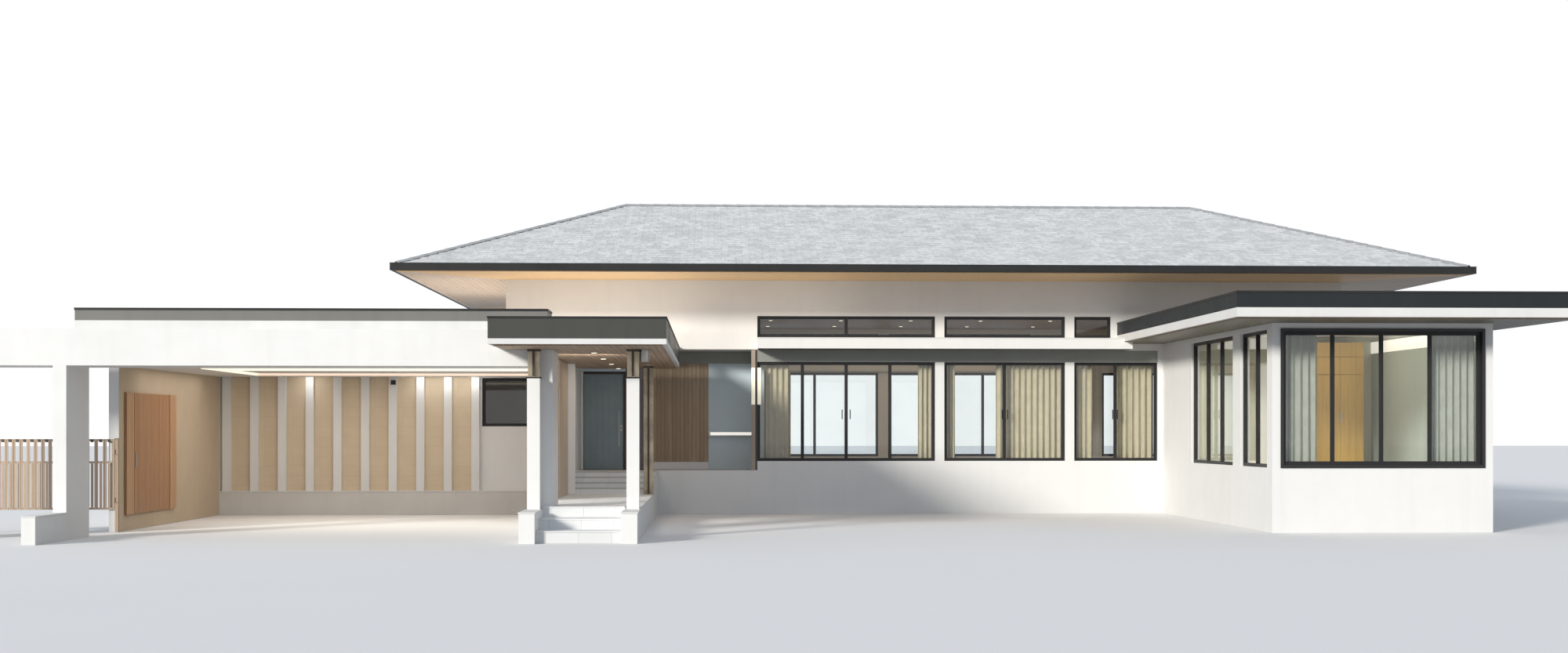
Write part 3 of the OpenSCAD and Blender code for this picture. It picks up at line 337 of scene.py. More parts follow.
SEAM = 0.002
boards, given, result = group(
    "board grain",
    [("Across", "Float"), ("Along", "Float"), ("Depth", "Float"), ("Board", "Float"),
     ("Color", "Color"), ("Dark", "Color"), ("Tones", "Float")],
    [("Color", "Color"), ("Height", "Float")])
share = maths("DIVIDE", given["Across"], given["Board"])
tone = add(boards, "ShaderNodeTexWhiteNoise", {"W": maths("FLOOR", share)},
           noise_dimensions="1D").outputs["Value"]
shifted = maths("ADD", given["Along"], times(tone, 23.0))


def stretched(across, along):
    return add(boards, "ShaderNodeCombineXYZ",
               {0: times(given["Across"], across), 1: times(given["Depth"], across),
                2: times(shifted, along)}).outputs[0]


figure = noise(stretched(14.0, 0.9), 1.0, 7.0, 0.65, 0.6)
fibre = noise(stretched(170.0, 6.0), 1.0, 3.0)
seam = maths("LESS_THAN", times(to_edge(share), given["Board"]), SEAM)
tint = mixed(spread(figure, 0.35, 0.7, 0.0, 0.75), given["Color"], given["Dark"])
tint = mixed(times(tone, given["Tones"]), tint, given["Dark"])
tint = mixed(spread(fibre, 0.45, 0.75, 0.0, 0.25), tint, given["Dark"])
feed(result, "Color", mixed(times(seam, 0.8), tint, (0.01, 0.008, 0.006, 1)))
feed(result, "Height", maths("SUBTRACT", times(fibre, 0.5), seam))


def timber(name, color, dark, board, across, along, roughness, tones=0.5, **extra):
    mat, shader, place = finish(name, roughness, **extra)
    xyz = split(place)
    depth = ({"X", "Y", "Z"} - {across, along}).pop()
    grain = add(place.id_data, "ShaderNodeGroup",
                {"Across": xyz[across], "Along": xyz[along], "Depth": xyz[depth],
                 "Board": board, "Color": (*color, 1), "Dark": (*dark, 1), "Tones": tones},
                node_tree=boards).outputs
    feed(shader, "Base Color", grain["Color"])
    raise_by(shader, grain["Height"], 0.0025)
    return mat


tan_coat = coated("tan_coat", (0.59, 0.475, 0.345), (0.5, 0.4, 0.285), 0.8,
                  blotches=0.4, grain_scale=260.0, relief=0.002)
piece("left_wall_coat", [block((2600, 2606), (4203, 11348), (10, 3378))], tan_coat)
store_timber = timber("store_timber", (0.52, 0.27, 0.13), (0.32, 0.15, 0.065), 0.1164,
                      "Y", "Z", 0.42, Coat_Weight=0.25, Coat_Roughness=0.25)
dress("store_doors", store_timber)
blocks("store_boards", [(2640, 5008, 334)], (12, 112, 2512), store_timber, "timber_orange",
       bevel=0.003, count=20, step=(0, 116.4, 0))
frame_timber = timber("frame_timber", (0.62, 0.38, 0.21), (0.46, 0.26, 0.14), 0.125, "Y", "Z", 0.45)
blocks("store_frame_boards", [(2640, 4502, 332), (2640, 7350, 332)], (26, 142, 2516),
       frame_timber, "timber_orange", bevel=0.004, count=3, step=(0, 146, 0))
satin_steel = coated("satin_steel", (0.55, 0.55, 0.55), (0.42, 0.42, 0.42), 0.3, metallic=1.0,
                     blotches=0.2, streaks=0.0, grain_scale=400.0, relief=0.0004)
blocks("store_pull", [(2652, 5070, 1300)], (24, 20, 300), satin_steel, "handle_steel", bevel=0.006)

# Open bay's back wall
# White upright fins stand on a grey base course, with tan textured panels between them and a
# small black lamp on one fin. A mitred ring of light panels washes the white ceiling.
dress("bay_fins white_ceilings", white_render)
dress("bay_base", coated("base_grey", (0.7, 0.68, 0.65), (0.58, 0.56, 0.535), 0.7,
                         grain_scale=150.0))
dress("bay_panels", paved("panel_tan", (0.72, 0.6, 0.44), (0.64, 0.52, 0.37),
                          (0.6, 0.48, 0.34), 0.67, 0.24, 0.003, 0.75, axes="XZ",
                          tones=0.3, relief=0.004))
blocks("base_cap", [(2602, 11338, 562)], (8496, 20, 28), coping_white, "concrete_grey", bevel=0.003)
black_cap = coated("black_cap", (0.02, 0.02, 0.021), (0.045, 0.045, 0.045), 0.4,
                   blotches=0.3, streaks=0.1, grain_scale=400.0, relief=0.0005,
                   Specular_IOR_Level=0.25)
blocks("fin_lamp", [(6770, 11292, 3190)], (110, 88, 110), black_cap, "fascia_olive", bevel=0.006)


def glowing(name, color, strength):
    mat, shader, place = finish(name, 0.5, Emission_Strength=strength)
    tint = mixed(spread(noise(place, 9.0), 0.3, 0.7, 0.0, 0.15), (*color, 1), (1, 1, 1, 1))
    feed(shader, "Base Color", tint)
    feed(shader, "Emission Color", tint)
    return mat


ring_light = glowing("ring_light", (1.0, 0.93, 0.74), 0.85)
ring_blush = glowing("ring_blush", (1.0, 0.78, 0.62), 0.62)
RING = (3366, 3379)
outer = [(3850, 5550), (10950, 5550), (10950, 10050), (3850, 10050)]
inner = [(4230, 6700), (10570, 6700), (10570, 8750), (4230, 8750)]
front_light = solid([outer[0], outer[1], inner[1], inner[0]], *RING)
left_light = solid([outer[0], inner[0], inner[3], outer[3]], *RING)
back_light = solid([outer[3], inner[3], inner[2], outer[2]], *RING)
piece("bay_light_ring", [front_light, left_light], ring_light, bevel=0.003)
piece("bay_light_back", [back_light], ring_blush, bevel=0.003)

# Flat roof over the bay
# The concrete slab carries a pale membrane laid in lapped widths. A warm grey metal fascia
# stands round its open edges under a thin black cap.
dress("flat_roof wing_roof canopy", coated("pale_concrete", (0.72, 0.72, 0.71),
                                           (0.58, 0.58, 0.565), 0.75, streaks=0.2,
                                           grain_scale=120.0))


def fascia_metal(name, color, shade, roughness, blotches=0.5, streaks=0.35):
    return coated(name, color, shade, roughness, blotches=blotches, blotch_scale=0.5,
                  streaks=streaks, grain_scale=500.0, relief=0.0006, Specular_IOR_Level=0.2)


dress("flat_roof_fascia", fascia_metal("grey_metal", (0.19, 0.187, 0.172),
                                       (0.15, 0.147, 0.133), 0.42))


def mitred(points, near, far, low, high):
    ways = []
    for a, b in zip(points, points[1:]):
        d = Vector((b[0] - a[0], b[1] - a[1])).normalized()
        ways.append(Vector((-d.y, d.x)))
    closed = points[0] == points[-1]
    sides = {}
    for offset in (near, far):
        line = []
        for i, p in enumerate(points):
            before = ways[i - 1] if i or closed else ways[i]
            after = ways[i] if i < len(ways) else ways[0] if closed else ways[-1]
            shift = (before + after) * (offset / (1 + before.dot(after)))
            line.append((p[0] + shift.x, p[1] + shift.y))
        sides[offset] = line
    return [solid([sides[near][i], sides[near][i + 1], sides[far][i + 1], sides[far][i]],
                  low, high) for i in range(len(ways))]


CAP_OUT = -12
LIP_IN = -3


def edge_cap(name, edge, width, foot, crown, top):
    piece(name, mitred(edge, CAP_OUT, width, crown, top)
          + mitred(edge, CAP_OUT, LIP_IN, foot, crown), black_cap, bevel=0.002)


flat_edge = [(9550, 19680), (2260, 19680), (2260, 2700), (11410, 2700), (11410, 3600)]
edge_cap("flat_roof_cap", flat_edge, width=75, foot=4410, crown=4440, top=4456)
pale_membrane = paved("pale_membrane", (0.68, 0.67, 0.65), (0.6, 0.59, 0.57),
                      (0.46, 0.45, 0.44), 1.0, 60.0, 0.02, 0.8, tones=0.3, relief=0.004)
piece("flat_roof_felt", [solid([(2325, 2765), (11345, 2765), (11345, 3605), (11405, 3605),
                                (11405, 11495), (9545, 11495), (9545, 19615), (2325, 19615)],
                               4210, 4222)], pale_membrane)

# Walkway canopy
# A thin slab with a dark olive-grey fascia above a pale band, boarded underneath, stands on
# bronze posts over white columns. Plates and bolts hold the posts. Four lamps light the way.
dress("canopy_fascia", fascia_metal("olive_metal", (0.068, 0.07, 0.062),
                                    (0.052, 0.054, 0.048), 0.36))
canopy_edge = [(10590, 1600), (10590, 0), (13820, 0), (13820, 11500)]
edge_cap("canopy_cap", canopy_edge, width=95, foot=4096, crown=4120, top=4134)
piece("canopy_felt", [solid([(10680, 90), (13730, 90), (13730, 11490), (11420, 11490),
                             (11420, 2810), (11618, 2810), (11618, 1590), (10680, 1590)],
                            4020, 4030)], pale_membrane)
lining_timber = timber("lining_timber", (0.46, 0.33, 0.225), (0.3, 0.2, 0.13), 0.117, "X", "Y", 0.5)
dress("timber_linings", lining_timber)
lining_runs = [(11630, 84, 18, 11392), (10694, 84, 8, 1492), (11396, 2824, 2, 8652)]
for i, (x, y, count, length) in enumerate(lining_runs):
    blocks(f"canopy_lining_{i + 1}", [(x, y, 3598)], (113, length, 12), lining_timber,
           "timber_brown", count=count, step=(117, 0, 0))

disc_rows = row_tree("rows of discs", "GeometryNodeMeshCylinder",
                     [("Vertices", "Int"), ("Radius", "Float"), ("Depth", "Float")])


# Each start is a disc's middle.
def discs(name, starts, radius, depth, mat, slot, sides, bevel=0.001, count=1,
          step=(0, 0, 0), turn=(0.0, 0.0, 0.0), body="house"):
    grow(name, disc_rows, starts, slot, bevel, body, step, Count=count, Material=mat,
         Vertices=sides, Radius=radius / 1000, Depth=depth / 1000, Turn=turn)


lamp_white = coated("lamp_white", (0.75, 0.75, 0.74), (0.66, 0.66, 0.65), 0.4, streaks=0.0,
                    relief=0.0004)
lens = glowing("lens", (1.0, 0.86, 0.62), 2.5)


def downlights(name, places, radius, depth, drop, lens_radius, sides):
    discs(name + "_rings", places, radius, depth, lamp_white, "rail_white", sides, bevel=0.002)
    discs(name + "_lenses", [(x, y, z - drop) for x, y, z in places], lens_radius, 8, lens,
          "rail_white", sides)


downlights("canopy_lamp", [(12322, 2720 + 2880 * i, 3595) for i in range(4)], radius=72,
           depth=10, drop=4, lens_radius=54, sides=32)
drum_metal = coated("drum_metal", (0.34, 0.33, 0.32), (0.2, 0.195, 0.19), 0.26,
                    metallic=1.0, streaks=0.1, grain_scale=500.0, relief=0.0004)
discs("canopy_drum_lamp", [(13366, 1400, 3487)], 94, 222, drum_metal, "fascia_olive",
      sides=40, bevel=0.005)
discs("canopy_drum_lens", [(13366, 1400, 3374)], 80, 8, lamp_white, "rail_white", sides=40)

dress("porch_columns", white_render)
blocks("column_caps", [(11148, 1288, 3049), (13018, 1288, 3049)], (264, 264, 26), black_cap,
       "fascia_olive", bevel=0.003)
bronze = coated("bronze", (0.42, 0.36, 0.27), (0.2, 0.165, 0.12), 0.36, metallic=1.0,
                blotches=0.55, blotch_scale=4.0, streaks=0.3, relief=0.0006)
dress("bronze_posts", bronze)
feet = [(11162, 1302, 3075), (13032, 1302, 3075), (13060, 8290, 600)]
blocks("post_plates", feet, (236, 236, 10), bronze, "bronze")
bolts = [(x + a, y + b, z + 14) for x, y, z in feet for a in (28, 208) for b in (28, 208)]
discs("post_bolts", bolts, 9, 10, satin_steel, "handle_steel", sides=6)
dark_bronze = coated("dark_bronze", (0.04, 0.028, 0.02), (0.07, 0.05, 0.036), 0.4,
                     streaks=0.2, relief=0.0006)
blocks("post_heads", [(11161, 1301, 3560), (13031, 1301, 3560), (13059, 8289, 3500)],
       (238, 238, 38), dark_bronze, "bronze", bevel=0.003)
blocks("post_strips", [(11258.5, 1304, 3090), (13128.5, 1304, 3090)], (43, 4, 470),
       dark_bronze, "bronze", bevel=0.001)
blocks("rear_post_strip", [(13156, 8291.5, 615)], (43, 4, 2880), dark_bronze, "bronze", bevel=0.001)

# Entrance
# A slate-blue door of upright boards hangs in a dark frame beside a dark panel. Brown boards,
# then a pale blue-grey wall with a shelf, line the rest of the recess. Pale boards and a white
# pier line the walkway's wall, and two long lamps hang on the bronze post at the corner.
ACROSS = (math.pi / 2, 0.0, 0.0)
door_paint = coated("door_paint", (0.23, 0.29, 0.315), (0.18, 0.235, 0.26), 0.38,
                    blotches=0.4, blotch_scale=2.0, streaks=0.1, grain_scale=350.0,
                    relief=0.0008, Coat_Weight=0.2, Coat_Roughness=0.2)
dress("entrance_door", door_paint)
blocks("door_boards", [(11378, 12752, 1104)], (158, 8, 2380), door_paint, "door_slate",
       count=6, step=(163, 0, 0), body="entrance_door")
dress("door_handle", satin_steel)
discs("door_lock", [(12316, 12749, 2080), (12316, 12749, 2180)], 24, 8, satin_steel,
      "handle_steel", sides=28, turn=ACROSS, body="entrance_door")
dress("door_frame", coated("dark_frame", (0.055, 0.038, 0.04), (0.035, 0.026, 0.027), 0.45,
                           blotches=0.4, relief=0.0008))
blocks("jamb_cover", [(11302, 12710, 1084)], (56, 10, 2476), coping_white, "render_white")
panel_paint = coated("panel_paint", (0.17, 0.14, 0.155), (0.13, 0.105, 0.118), 0.45,
                     blotches=0.5, blotch_scale=1.5, relief=0.001)
blocks("side_panel_sheets", [(12448, 12710, 1090)], (676, 10, 2980), panel_paint,
       "door_frame_dark", bevel=0.003)
wall_timber = timber("wall_timber", (0.44, 0.33, 0.22), (0.28, 0.2, 0.13), 0.1,
                     "X", "Z", 0.5, tones=0.75)
side_timber = timber("side_timber", (0.64, 0.52, 0.4), (0.48, 0.37, 0.27), 0.1,
                     "Y", "Z", 0.5, tones=0.75)
dress("timber_cladding", wall_timber)
blocks("entrance_boards", [(13138, 12688, 1272)], (96, 12, 2804), wall_timber, "timber_brown",
       count=14, step=(99.8, 0, 0))
blocks("entrance_skirting", [(13138, 12682, 1081)], (1396, 18, 188), coping_white,
       "render_white", bevel=0.004)
blocks("walkway_boards", [(11330, 6102, 604)], (12, 96, 2992), side_timber, "timber_brown",
       count=22, step=(0, 99.8, 0))
blocks("walkway_pier", [(11302, 8300, 604)], (198, 100, 2990), white_render, "render_white",
       bevel=0.004)
dress("recess_back_wall", coated("blue_render", (0.6, 0.7, 0.75), (0.52, 0.61, 0.66), 0.75,
                                 blotches=0.3, grain_scale=220.0, relief=0.0015))
lamp_cream = glowing("lamp_cream", (0.95, 0.9, 0.7), 0.35)
blocks("corner_lamps", [(15604, 11462, 2711), (15752, 11462, 2711)], (92, 26, 914), lamp_cream,
       "rail_white", bevel=0.006)
blocks("corner_post_plates", [(15655, 11490, 1080), (15655, 11490, 4066)], (95, 100, 12),
       bronze, "bronze")
blocks("corner_post_strip", [(15702, 11490, 1094)], (46, 6, 2970), dark_bronze, "bronze",
       bevel=0.001)
post_cover = coated("post_cover", (0.36, 0.31, 0.25), (0.28, 0.235, 0.185), 0.5, relief=0.0008)
blocks("corner_post_cover", [(15602, 11490, 1094)], (98, 8, 2970), post_cover, "bronze")
shelf_glow = glowing("shelf_glow", (1.0, 0.97, 0.9), 0.6)
blocks("shelf_light", [(14586, 12544, 1950)], (1150, 8, 72), shelf_glow, "render_white")

# Main ceiling and its lamps
# The living room's ceiling is boarded in brown, a metre above the sun ledge, so it shows through
# the upper strip of windows with its small round lamps.
dress("main_ceiling", timber("ceiling_timber", (0.3, 0.17, 0.095), (0.16, 0.085, 0.045),
                             0.12, "Y", "X", 0.45))
downlights("ceiling_lamp", [(16200 + 1900 * i, y, 5044) for i in range(5)
                            for y in (12700, 15300, 17900)],
           radius=65, depth=12, drop=5, lens_radius=48, sides=28)

# Sun ledge
# A white concrete slab shades the garden windows. A dark grey sheet under it, inside a drip
# edge, is painted shade. Grey bands over the window heads and over the top of the recess's back
# wall are painted shadow.
LEDGE_LEFT = 15745
LEDGE_RIGHT = 24755
LEDGE_FRONT = 10690
dress("ledges", white_render)
underside_shade_grey = coated("underside_shade_grey", (0.15, 0.15, 0.145), (0.115, 0.115, 0.11), 0.8, grain_scale=200.0)
painted_shadow_grey = coated("painted_shadow_grey", (0.3, 0.31, 0.285), (0.24, 0.25, 0.23), 0.8, grain_scale=200.0)
# Painted shadow: the grey band over the garden window heads.
piece("lintel_shadow_strip", [block((15752, 25768), (11494, 11500), (3772, 4060))], painted_shadow_grey)
# Painted shadow: the grey band across the top of the recess's back wall.
RECESS_SHADOW_RISE = (3773, 4074)
piece("recess_shadow_strip", [block((13140, 14536), (12664, 12687), RECESS_SHADOW_RISE),
                          block((14536, LEDGE_LEFT), (12664, 12699), RECESS_SHADOW_RISE)], painted_shadow_grey)
# The dark grey sheet under the ledge is painted shade.
piece("ledge_shade_sheet", [block((15770, 24930), (10740, 11490), (4062, 4070))], underside_shade_grey)
piece("ledge_flashing",
      [block((LEDGE_LEFT, LEDGE_RIGHT), (LEDGE_FRONT, LEDGE_FRONT + 12), (4316, 4336)),
       block((LEDGE_LEFT, LEDGE_RIGHT), (LEDGE_FRONT, 11498), (4330, 4340))],
      coping_white, bevel=0.002)

# Windows
# Every window is an aluminium frame, powder-coated charcoal, with a slim sash round each light
# and clear double glazing. Panes are slightly green at their edges.
charcoal = coated("charcoal", (0.022, 0.022, 0.024), (0.035, 0.035, 0.035), 0.4,
                  blotches=0.25, streaks=0.1, grain_scale=600.0, relief=0.0003,
                  Specular_IOR_Level=0.25)
dress("window_frames", charcoal)
FRAME = 60
MULLION = 55
RIM = 12
FRONT_PLANE = (11575, 11635)
BACK_PLANE = (19405, 19465)
MAIN_RISE = (1310, 3770)
STRIP_RISE = (4380, 4910)
HIGH_RISE = (2170, 3365)


def lights(start, width, count):
    light = (width - 2 * FRAME - (count - 1) * MULLION) / count
    starts = [start + FRAME + i * (light + MULLION) for i in range(count)]
    return [(a, a + light) for a in starts]


def sash(run, height, depth, along_x):
    a, b = run
    low, high = height
    bars = [((a, b), (low, low + RIM)), ((a, b), (high - RIM, high)),
            ((a, a + RIM), (low + RIM, high - RIM)), ((b - RIM, b), (low + RIM, high - RIM))]
    return [block(along, depth, up) if along_x else block(depth, along, up) for along, up in bars]


# Each window is its start, its width and its number of lights.
front = [(15750, 4430, 4), (20410, 3030, 2), (23670, 2100, 2)]
strip = [(15750, 4430, 2), (20410, 3030, 1), (23670, 920, 1)]
back = [(15755, 3740, 2), (19805, 4195, 3), (26120, 3000, 2)]
sashes = []
for along_x, wins, plane, rise in (
        (True, front, FRONT_PLANE, MAIN_RISE),
        (True, strip, FRONT_PLANE, STRIP_RISE),
        (True, back, BACK_PLANE, MAIN_RISE),
        (True, back[:2], BACK_PLANE, STRIP_RISE),
        (True, [(26130, 4060, 4)], (3005, 3065), (1370, 4060)),
        (True, [(8965, 1385, 1)], FRONT_PLANE, HIGH_RISE),
        (True, [(5382.5, 1385, 2)], BACK_PLANE, HIGH_RISE),
        (False, [(3260, 1800, 2), (5600, 3300, 3)], (25975, 26035), (1310, 4120)),
        (False, [(9260, 1800, 2), (14620, 1800, 2)], (30285, 30345), MAIN_RISE),
        (False, [(11700, 1000, 1)], (15765, 15825), MAIN_RISE)):
    for start, width, count in wins:
        for run in lights(start, width, count):
            sashes += sash(run, (rise[0] + FRAME, rise[1] - FRAME), plane, along_x)
piece("window_sashes", sashes, charcoal, bevel=0.002)
blocks("sash_handles", [(x, 11560, 2350) for x in (17850, 18050, 21860, 21990, 24640, 24760)],
       (24, 16, 240), charcoal, "frame_charcoal", bevel=0.004)

clear_glass, shader, place = finish("clear_glass", 0.5, Transmission_Weight=1.0, IOR=1.45)
film = noise(place, 1.7, 4.0)
feed(shader, "Base Color", mixed(spread(film, 0.4, 0.7), (0.93, 0.96, 0.96, 1),
                                 (0.9, 0.94, 0.94, 1)))
feed(shader, "Roughness", spread(film, 0.5, 0.8, 0.005, 0.03))
rays = add(place.id_data, "ShaderNodeLightPath").outputs
unseen = maths("MAXIMUM", rays["Is Shadow Ray"], rays["Is Diffuse Ray"])
feed(shader, "Alpha", maths("SUBTRACT", 1.0, times(unseen, 0.9)))
dress("window_glass", clear_glass)

# Curtains
# Lined cream curtains and, in the wing, greenish-grey sheers hang in even pleats from rails on
# the walls' inner faces. Each is one length of cloth gathered to about half its width.
dress("curtain_rails", lamp_white)


def cloth(name, color, shade, threads, sheer):
    mat, shader, place = finish(name, 0.85, Sheen_Weight=0.3, Sheen_Roughness=0.5)
    xyz = split(place)
    warp = maths("SINE", times(xyz["X"], threads))
    weft = maths("SINE", times(xyz["Z"], threads))
    weave = maths("ADD", times(warp, weft), 1.0)
    tint = mixed(spread(noise(place, 5.0, 5.0, 0.7), 0.35, 0.7), (*color, 1), (*shade, 1))
    feed(shader, "Base Color", mixed(times(weave, 0.06), tint, (*shade, 1)))
    raise_by(shader, weave, 0.0006, 0.4)
    if sheer:
        feed(shader, "Alpha", spread(weave, 0.0, 2.0, 1.0 - sheer, 1.0))
    return mat


cream_cloth = cloth("cream_cloth", (0.5, 0.445, 0.31), (0.41, 0.36, 0.245), 1400.0, 0.0)
sheer_cloth = cloth("sheer_cloth", (0.41, 0.435, 0.375), (0.33, 0.355, 0.3), 1100.0, 0.3)
PLEAT = 150
PLEAT_STEPS = 12
RISES = 16
CLOTH = 0.0015
FOLD_ROOM = 6
SHARPNESS = 0.8
SWAY = 14
TOP_DEPTH = 0.72


def curtain(name, x, y, z, mat, seed):
    chance = random.Random(seed)
    count = max(3, round((x[1] - x[0]) / PLEAT))
    steps = count * PLEAT_STEPS
    swings = [chance.uniform(0.75, 1.0) for _ in range(count + 1)]
    drifts = [chance.uniform(-0.2, 0.2) for _ in range(count + 1)]
    middle = (y[0] + y[1]) / 2
    depth = (y[1] - y[0]) / 2 - FOLD_ROOM
    shape = bmesh.new()
    grid = []
    for j in range(RISES + 1):
        low = 1 - j / RISES
        row = []
        for i in range(steps + 1):
            turn = i / PLEAT_STEPS
            k = int(min(turn, count - 1e-6))
            part = turn - k
            swing = swings[k] * (1 - part) + swings[k + 1] * part
            drift = drifts[k] * (1 - part) + drifts[k + 1] * part
            wave = math.sin(2 * math.pi * turn + drift * low * 2)
            wave = math.copysign(abs(wave) ** SHARPNESS, wave)
            across = x[0] + (x[1] - x[0]) * i / steps
            across += SWAY * low * math.sin(4 * math.pi * turn)
            fold = depth * swing * (TOP_DEPTH + (1 - TOP_DEPTH) * low) * wave
            row.append(shape.verts.new(metres(min(max(across, x[0]), x[1]), middle + fold,
                                              z[1] + (z[0] - z[1]) * low)))
        grid.append(row)
    for a, b in zip(grid, grid[1:]):
        for i in range(steps):
            shape.faces.new([a[i], a[i + 1], b[i + 1], b[i]]).smooth = True
    drop = (z[1] - z[0]) / 1000
    flat_width = sum(face.calc_area() for face in shape.faces) / drop
    obj = cast(name, shape, mat)
    thick = obj.modifiers.new("cloth", "SOLIDIFY")
    thick.thickness = CLOTH
    thick.offset = 0.0
    settle(obj)
    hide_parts("curtains")


# Each drape is its window's number, then its two ends as shares of the window's width.
for room, wins, drapes, depth, top, mat, seed in (
        ("garden", front, [(0, 0.05, 0.18), (0, 0.91, 0.99), (1, 0.01, 0.1), (1, 0.44, 0.99),
                           (2, 0.02, 0.25), (2, 0.51, 0.97)],
         (11740, 11850), 3806, cream_cloth, 0),
        ("back", back, [(0, 0.01, 0.31), (1, 0.21, 0.46), (1, 0.77, 0.99)],
         (19190, 19300), 3806, cream_cloth, 20),
        ("wing", [(26070, 4180, 4)], [(0, 0.015, 0.2), (0, 0.77, 0.98)],
         (3170, 3280), 4156, sheer_cloth, 40)):
    for i, (win, a, b) in enumerate(drapes):
        start, width, _ = wins[win]
        curtain(f"{room}_curtain_{i + 1}", (start + a * width, start + b * width), depth,
                (1100, top), mat, seed + i)

# Garden wing
# A thin white-edged slab with a dark blue-grey fascia stands out all round, lined with brown
# boards below. The front window sits in a deep black box frame.
dress("wing_fascia", fascia_metal("blue_metal", (0.018, 0.022, 0.025), (0.028, 0.031, 0.034),
                                  0.45, blotches=0.45, streaks=0.3))
wing_edge = [(24750, 11500), (24750, 1500), (31570, 1500), (31570, 11500)]
edge_cap("wing_roof_cap", wing_edge, width=75, foot=4722, crown=4750, top=4764)
roof_felt = paved("roof_felt", (0.22, 0.21, 0.2), (0.18, 0.17, 0.16), (0.13, 0.13, 0.12),
                  1.0, 60.0, 0.02, 0.85, tones=0.3, relief=0.004)
piece("wing_roof_felt", [block((24812, 31508), (1562, 11495), (4440, 4452))], roof_felt)
dress("wing_box_frame", coated("black_box", (0.011, 0.011, 0.012), (0.025, 0.025, 0.026),
                               0.4, blotches=0.3, streaks=0.1, grain_scale=500.0,
                               relief=0.0004))
LINING = (4228, 4240)
LINING_STEP = 148
LINING_BOARD = 144
eaves_boards = []
for side, start, count in (((24815, 31505), 1580, 9), ((24815, 25890), 2912, 57),
                           ((30430, 31505), 2912, 57)):
    for i in range(count):
        a = start + i * LINING_STEP
        eaves_boards.append(block(side, (a, a + LINING_BOARD), LINING))
wing_timber = timber("wing_timber", (0.17, 0.15, 0.115), (0.115, 0.1, 0.075), 0.148, "Y", "X", 0.45)
piece("wing_lining_boards", eaves_boards, wing_timber, bevel=0.002)

# Wing's room
# The back wall is plastered in greenish cream and the right wall in grey-green, under a cove
# lamp. A built-in cupboard of golden-brown doors reaches up to the ceiling in two tiers.
dress("bedroom_wall", coated("cream_plaster", (0.6, 0.61, 0.5), (0.51, 0.52, 0.42), 0.8,
                             grain_scale=200.0))
green_plaster = coated("green_plaster", (0.46, 0.53, 0.48), (0.39, 0.45, 0.41), 0.8,
                       grain_scale=200.0)
piece("bedroom_side_plaster", [block((30210, 30219), (3262, 8925), (1084, 4186))],
      green_plaster)
cove_glow = glowing("cove_glow", (1.0, 0.95, 0.85), 0.56)
piece("bedroom_cove_light", [block((30200, 30209), (3300, 8925), (3880, 4150))], cove_glow,
      bevel=0.002)
cupboard_timber = timber("cupboard_timber", (0.62, 0.41, 0.11), (0.45, 0.275, 0.06), 0.55,
                         "X", "Z", 0.4, tones=0.3, Coat_Weight=0.2, Coat_Roughness=0.3)
dress("cupboard", cupboard_timber)
for name, y, z, depth, height in (("cupboard_doors", 8312, 1090, 18, 2260),
                                  ("cupboard_top_doors", 8312, 3374, 18, 396),
                                  ("cupboard_head", 8320, 3786, 590, 330)):
    blocks(name, [(28704, y, z)], (544, depth, height), cupboard_timber, "timber_orange",
           bevel=0.003, count=2, step=(548, 0, 0))
blocks("cupboard_pulls", [(29205, 8296, 2250), (29290, 8296, 2250)], (14, 16, 260),
       satin_steel, "handle_steel", bevel=0.004)

# Eaves
# The soffit is boarded in oiled golden timber along the front and back and in pale beige boards
# at the ends, mitred at the corners. Charcoal gutters hang all round from brackets.
EAVE_LEFT = 7270
EAVE_RIGHT = 32700
EAVE_FRONT = 9220
EAVE_BACK = 21820
GUTTER = 120
SOFFIT = 5800
EDGE_BOARD = 180
SOFFIT_BOARD = 150
golden_timber = timber("golden_timber", (0.9, 0.66, 0.38), (0.72, 0.44, 0.2), 0.15,
                       "Y", "X", 0.5, tones=0.3)
beige_timber = timber("beige_timber", (0.72, 0.6, 0.49), (0.58, 0.46, 0.36), 0.15,
                      "X", "Y", 0.55, tones=0.3)
dress("eaves_soffit", golden_timber)


def eaves_line(out):
    left, right = EAVE_LEFT - out, EAVE_RIGHT + out
    near, far = EAVE_FRONT - out, EAVE_BACK + out
    return [(left, near), (right, near), (right, far), (left, far), (left, near)]


outline = eaves_line(0)
rings = [mitred(outline, 2, EDGE_BOARD, SOFFIT - 16, SOFFIT)]
rings += [mitred(outline, a + 4, a + SOFFIT_BOARD, SOFFIT - 12, SOFFIT)
          for a in range(EDGE_BOARD, EDGE_BOARD + 14 * SOFFIT_BOARD, SOFFIT_BOARD)]
for part, first, mat in (("long", 0, golden_timber), ("ends", 1, beige_timber)):
    piece(f"soffit_boards_{part}", [plank for ring in rings for plank in ring[first::2]], mat,
          bevel=0.002)
gutter_paint = coated("gutter_paint", (0.02, 0.021, 0.021), (0.032, 0.033, 0.033), 0.42,
                      blotches=0.4, streaks=0.3, grain_scale=500.0, relief=0.0005,
                      Specular_IOR_Level=0.2)
dress("gutter", gutter_paint)
gutter_edge = eaves_line(GUTTER)
piece("gutter_lips", mitred(gutter_edge, -6, 18, 5958, 5972)
      + mitred(gutter_edge, -5, 0, 5805, 5815), gutter_paint, bevel=0.003)
BRACKET = 24
BRACKET_RISE = (5950, 5960)
brackets = [block((x, x + BRACKET), y, BRACKET_RISE) for x in range(7600, 32600, 900)
            for y in ((EAVE_FRONT - 116, EAVE_FRONT - 4), (EAVE_BACK + 4, EAVE_BACK + 116))]
brackets += [block(x, (y, y + BRACKET), BRACKET_RISE) for y in range(9600, 21700, 900)
             for x in ((EAVE_LEFT - 116, EAVE_LEFT - 4), (EAVE_RIGHT + 4, EAVE_RIGHT + 116))]
piece("gutter_brackets", brackets, gutter_paint, bevel=0.002)

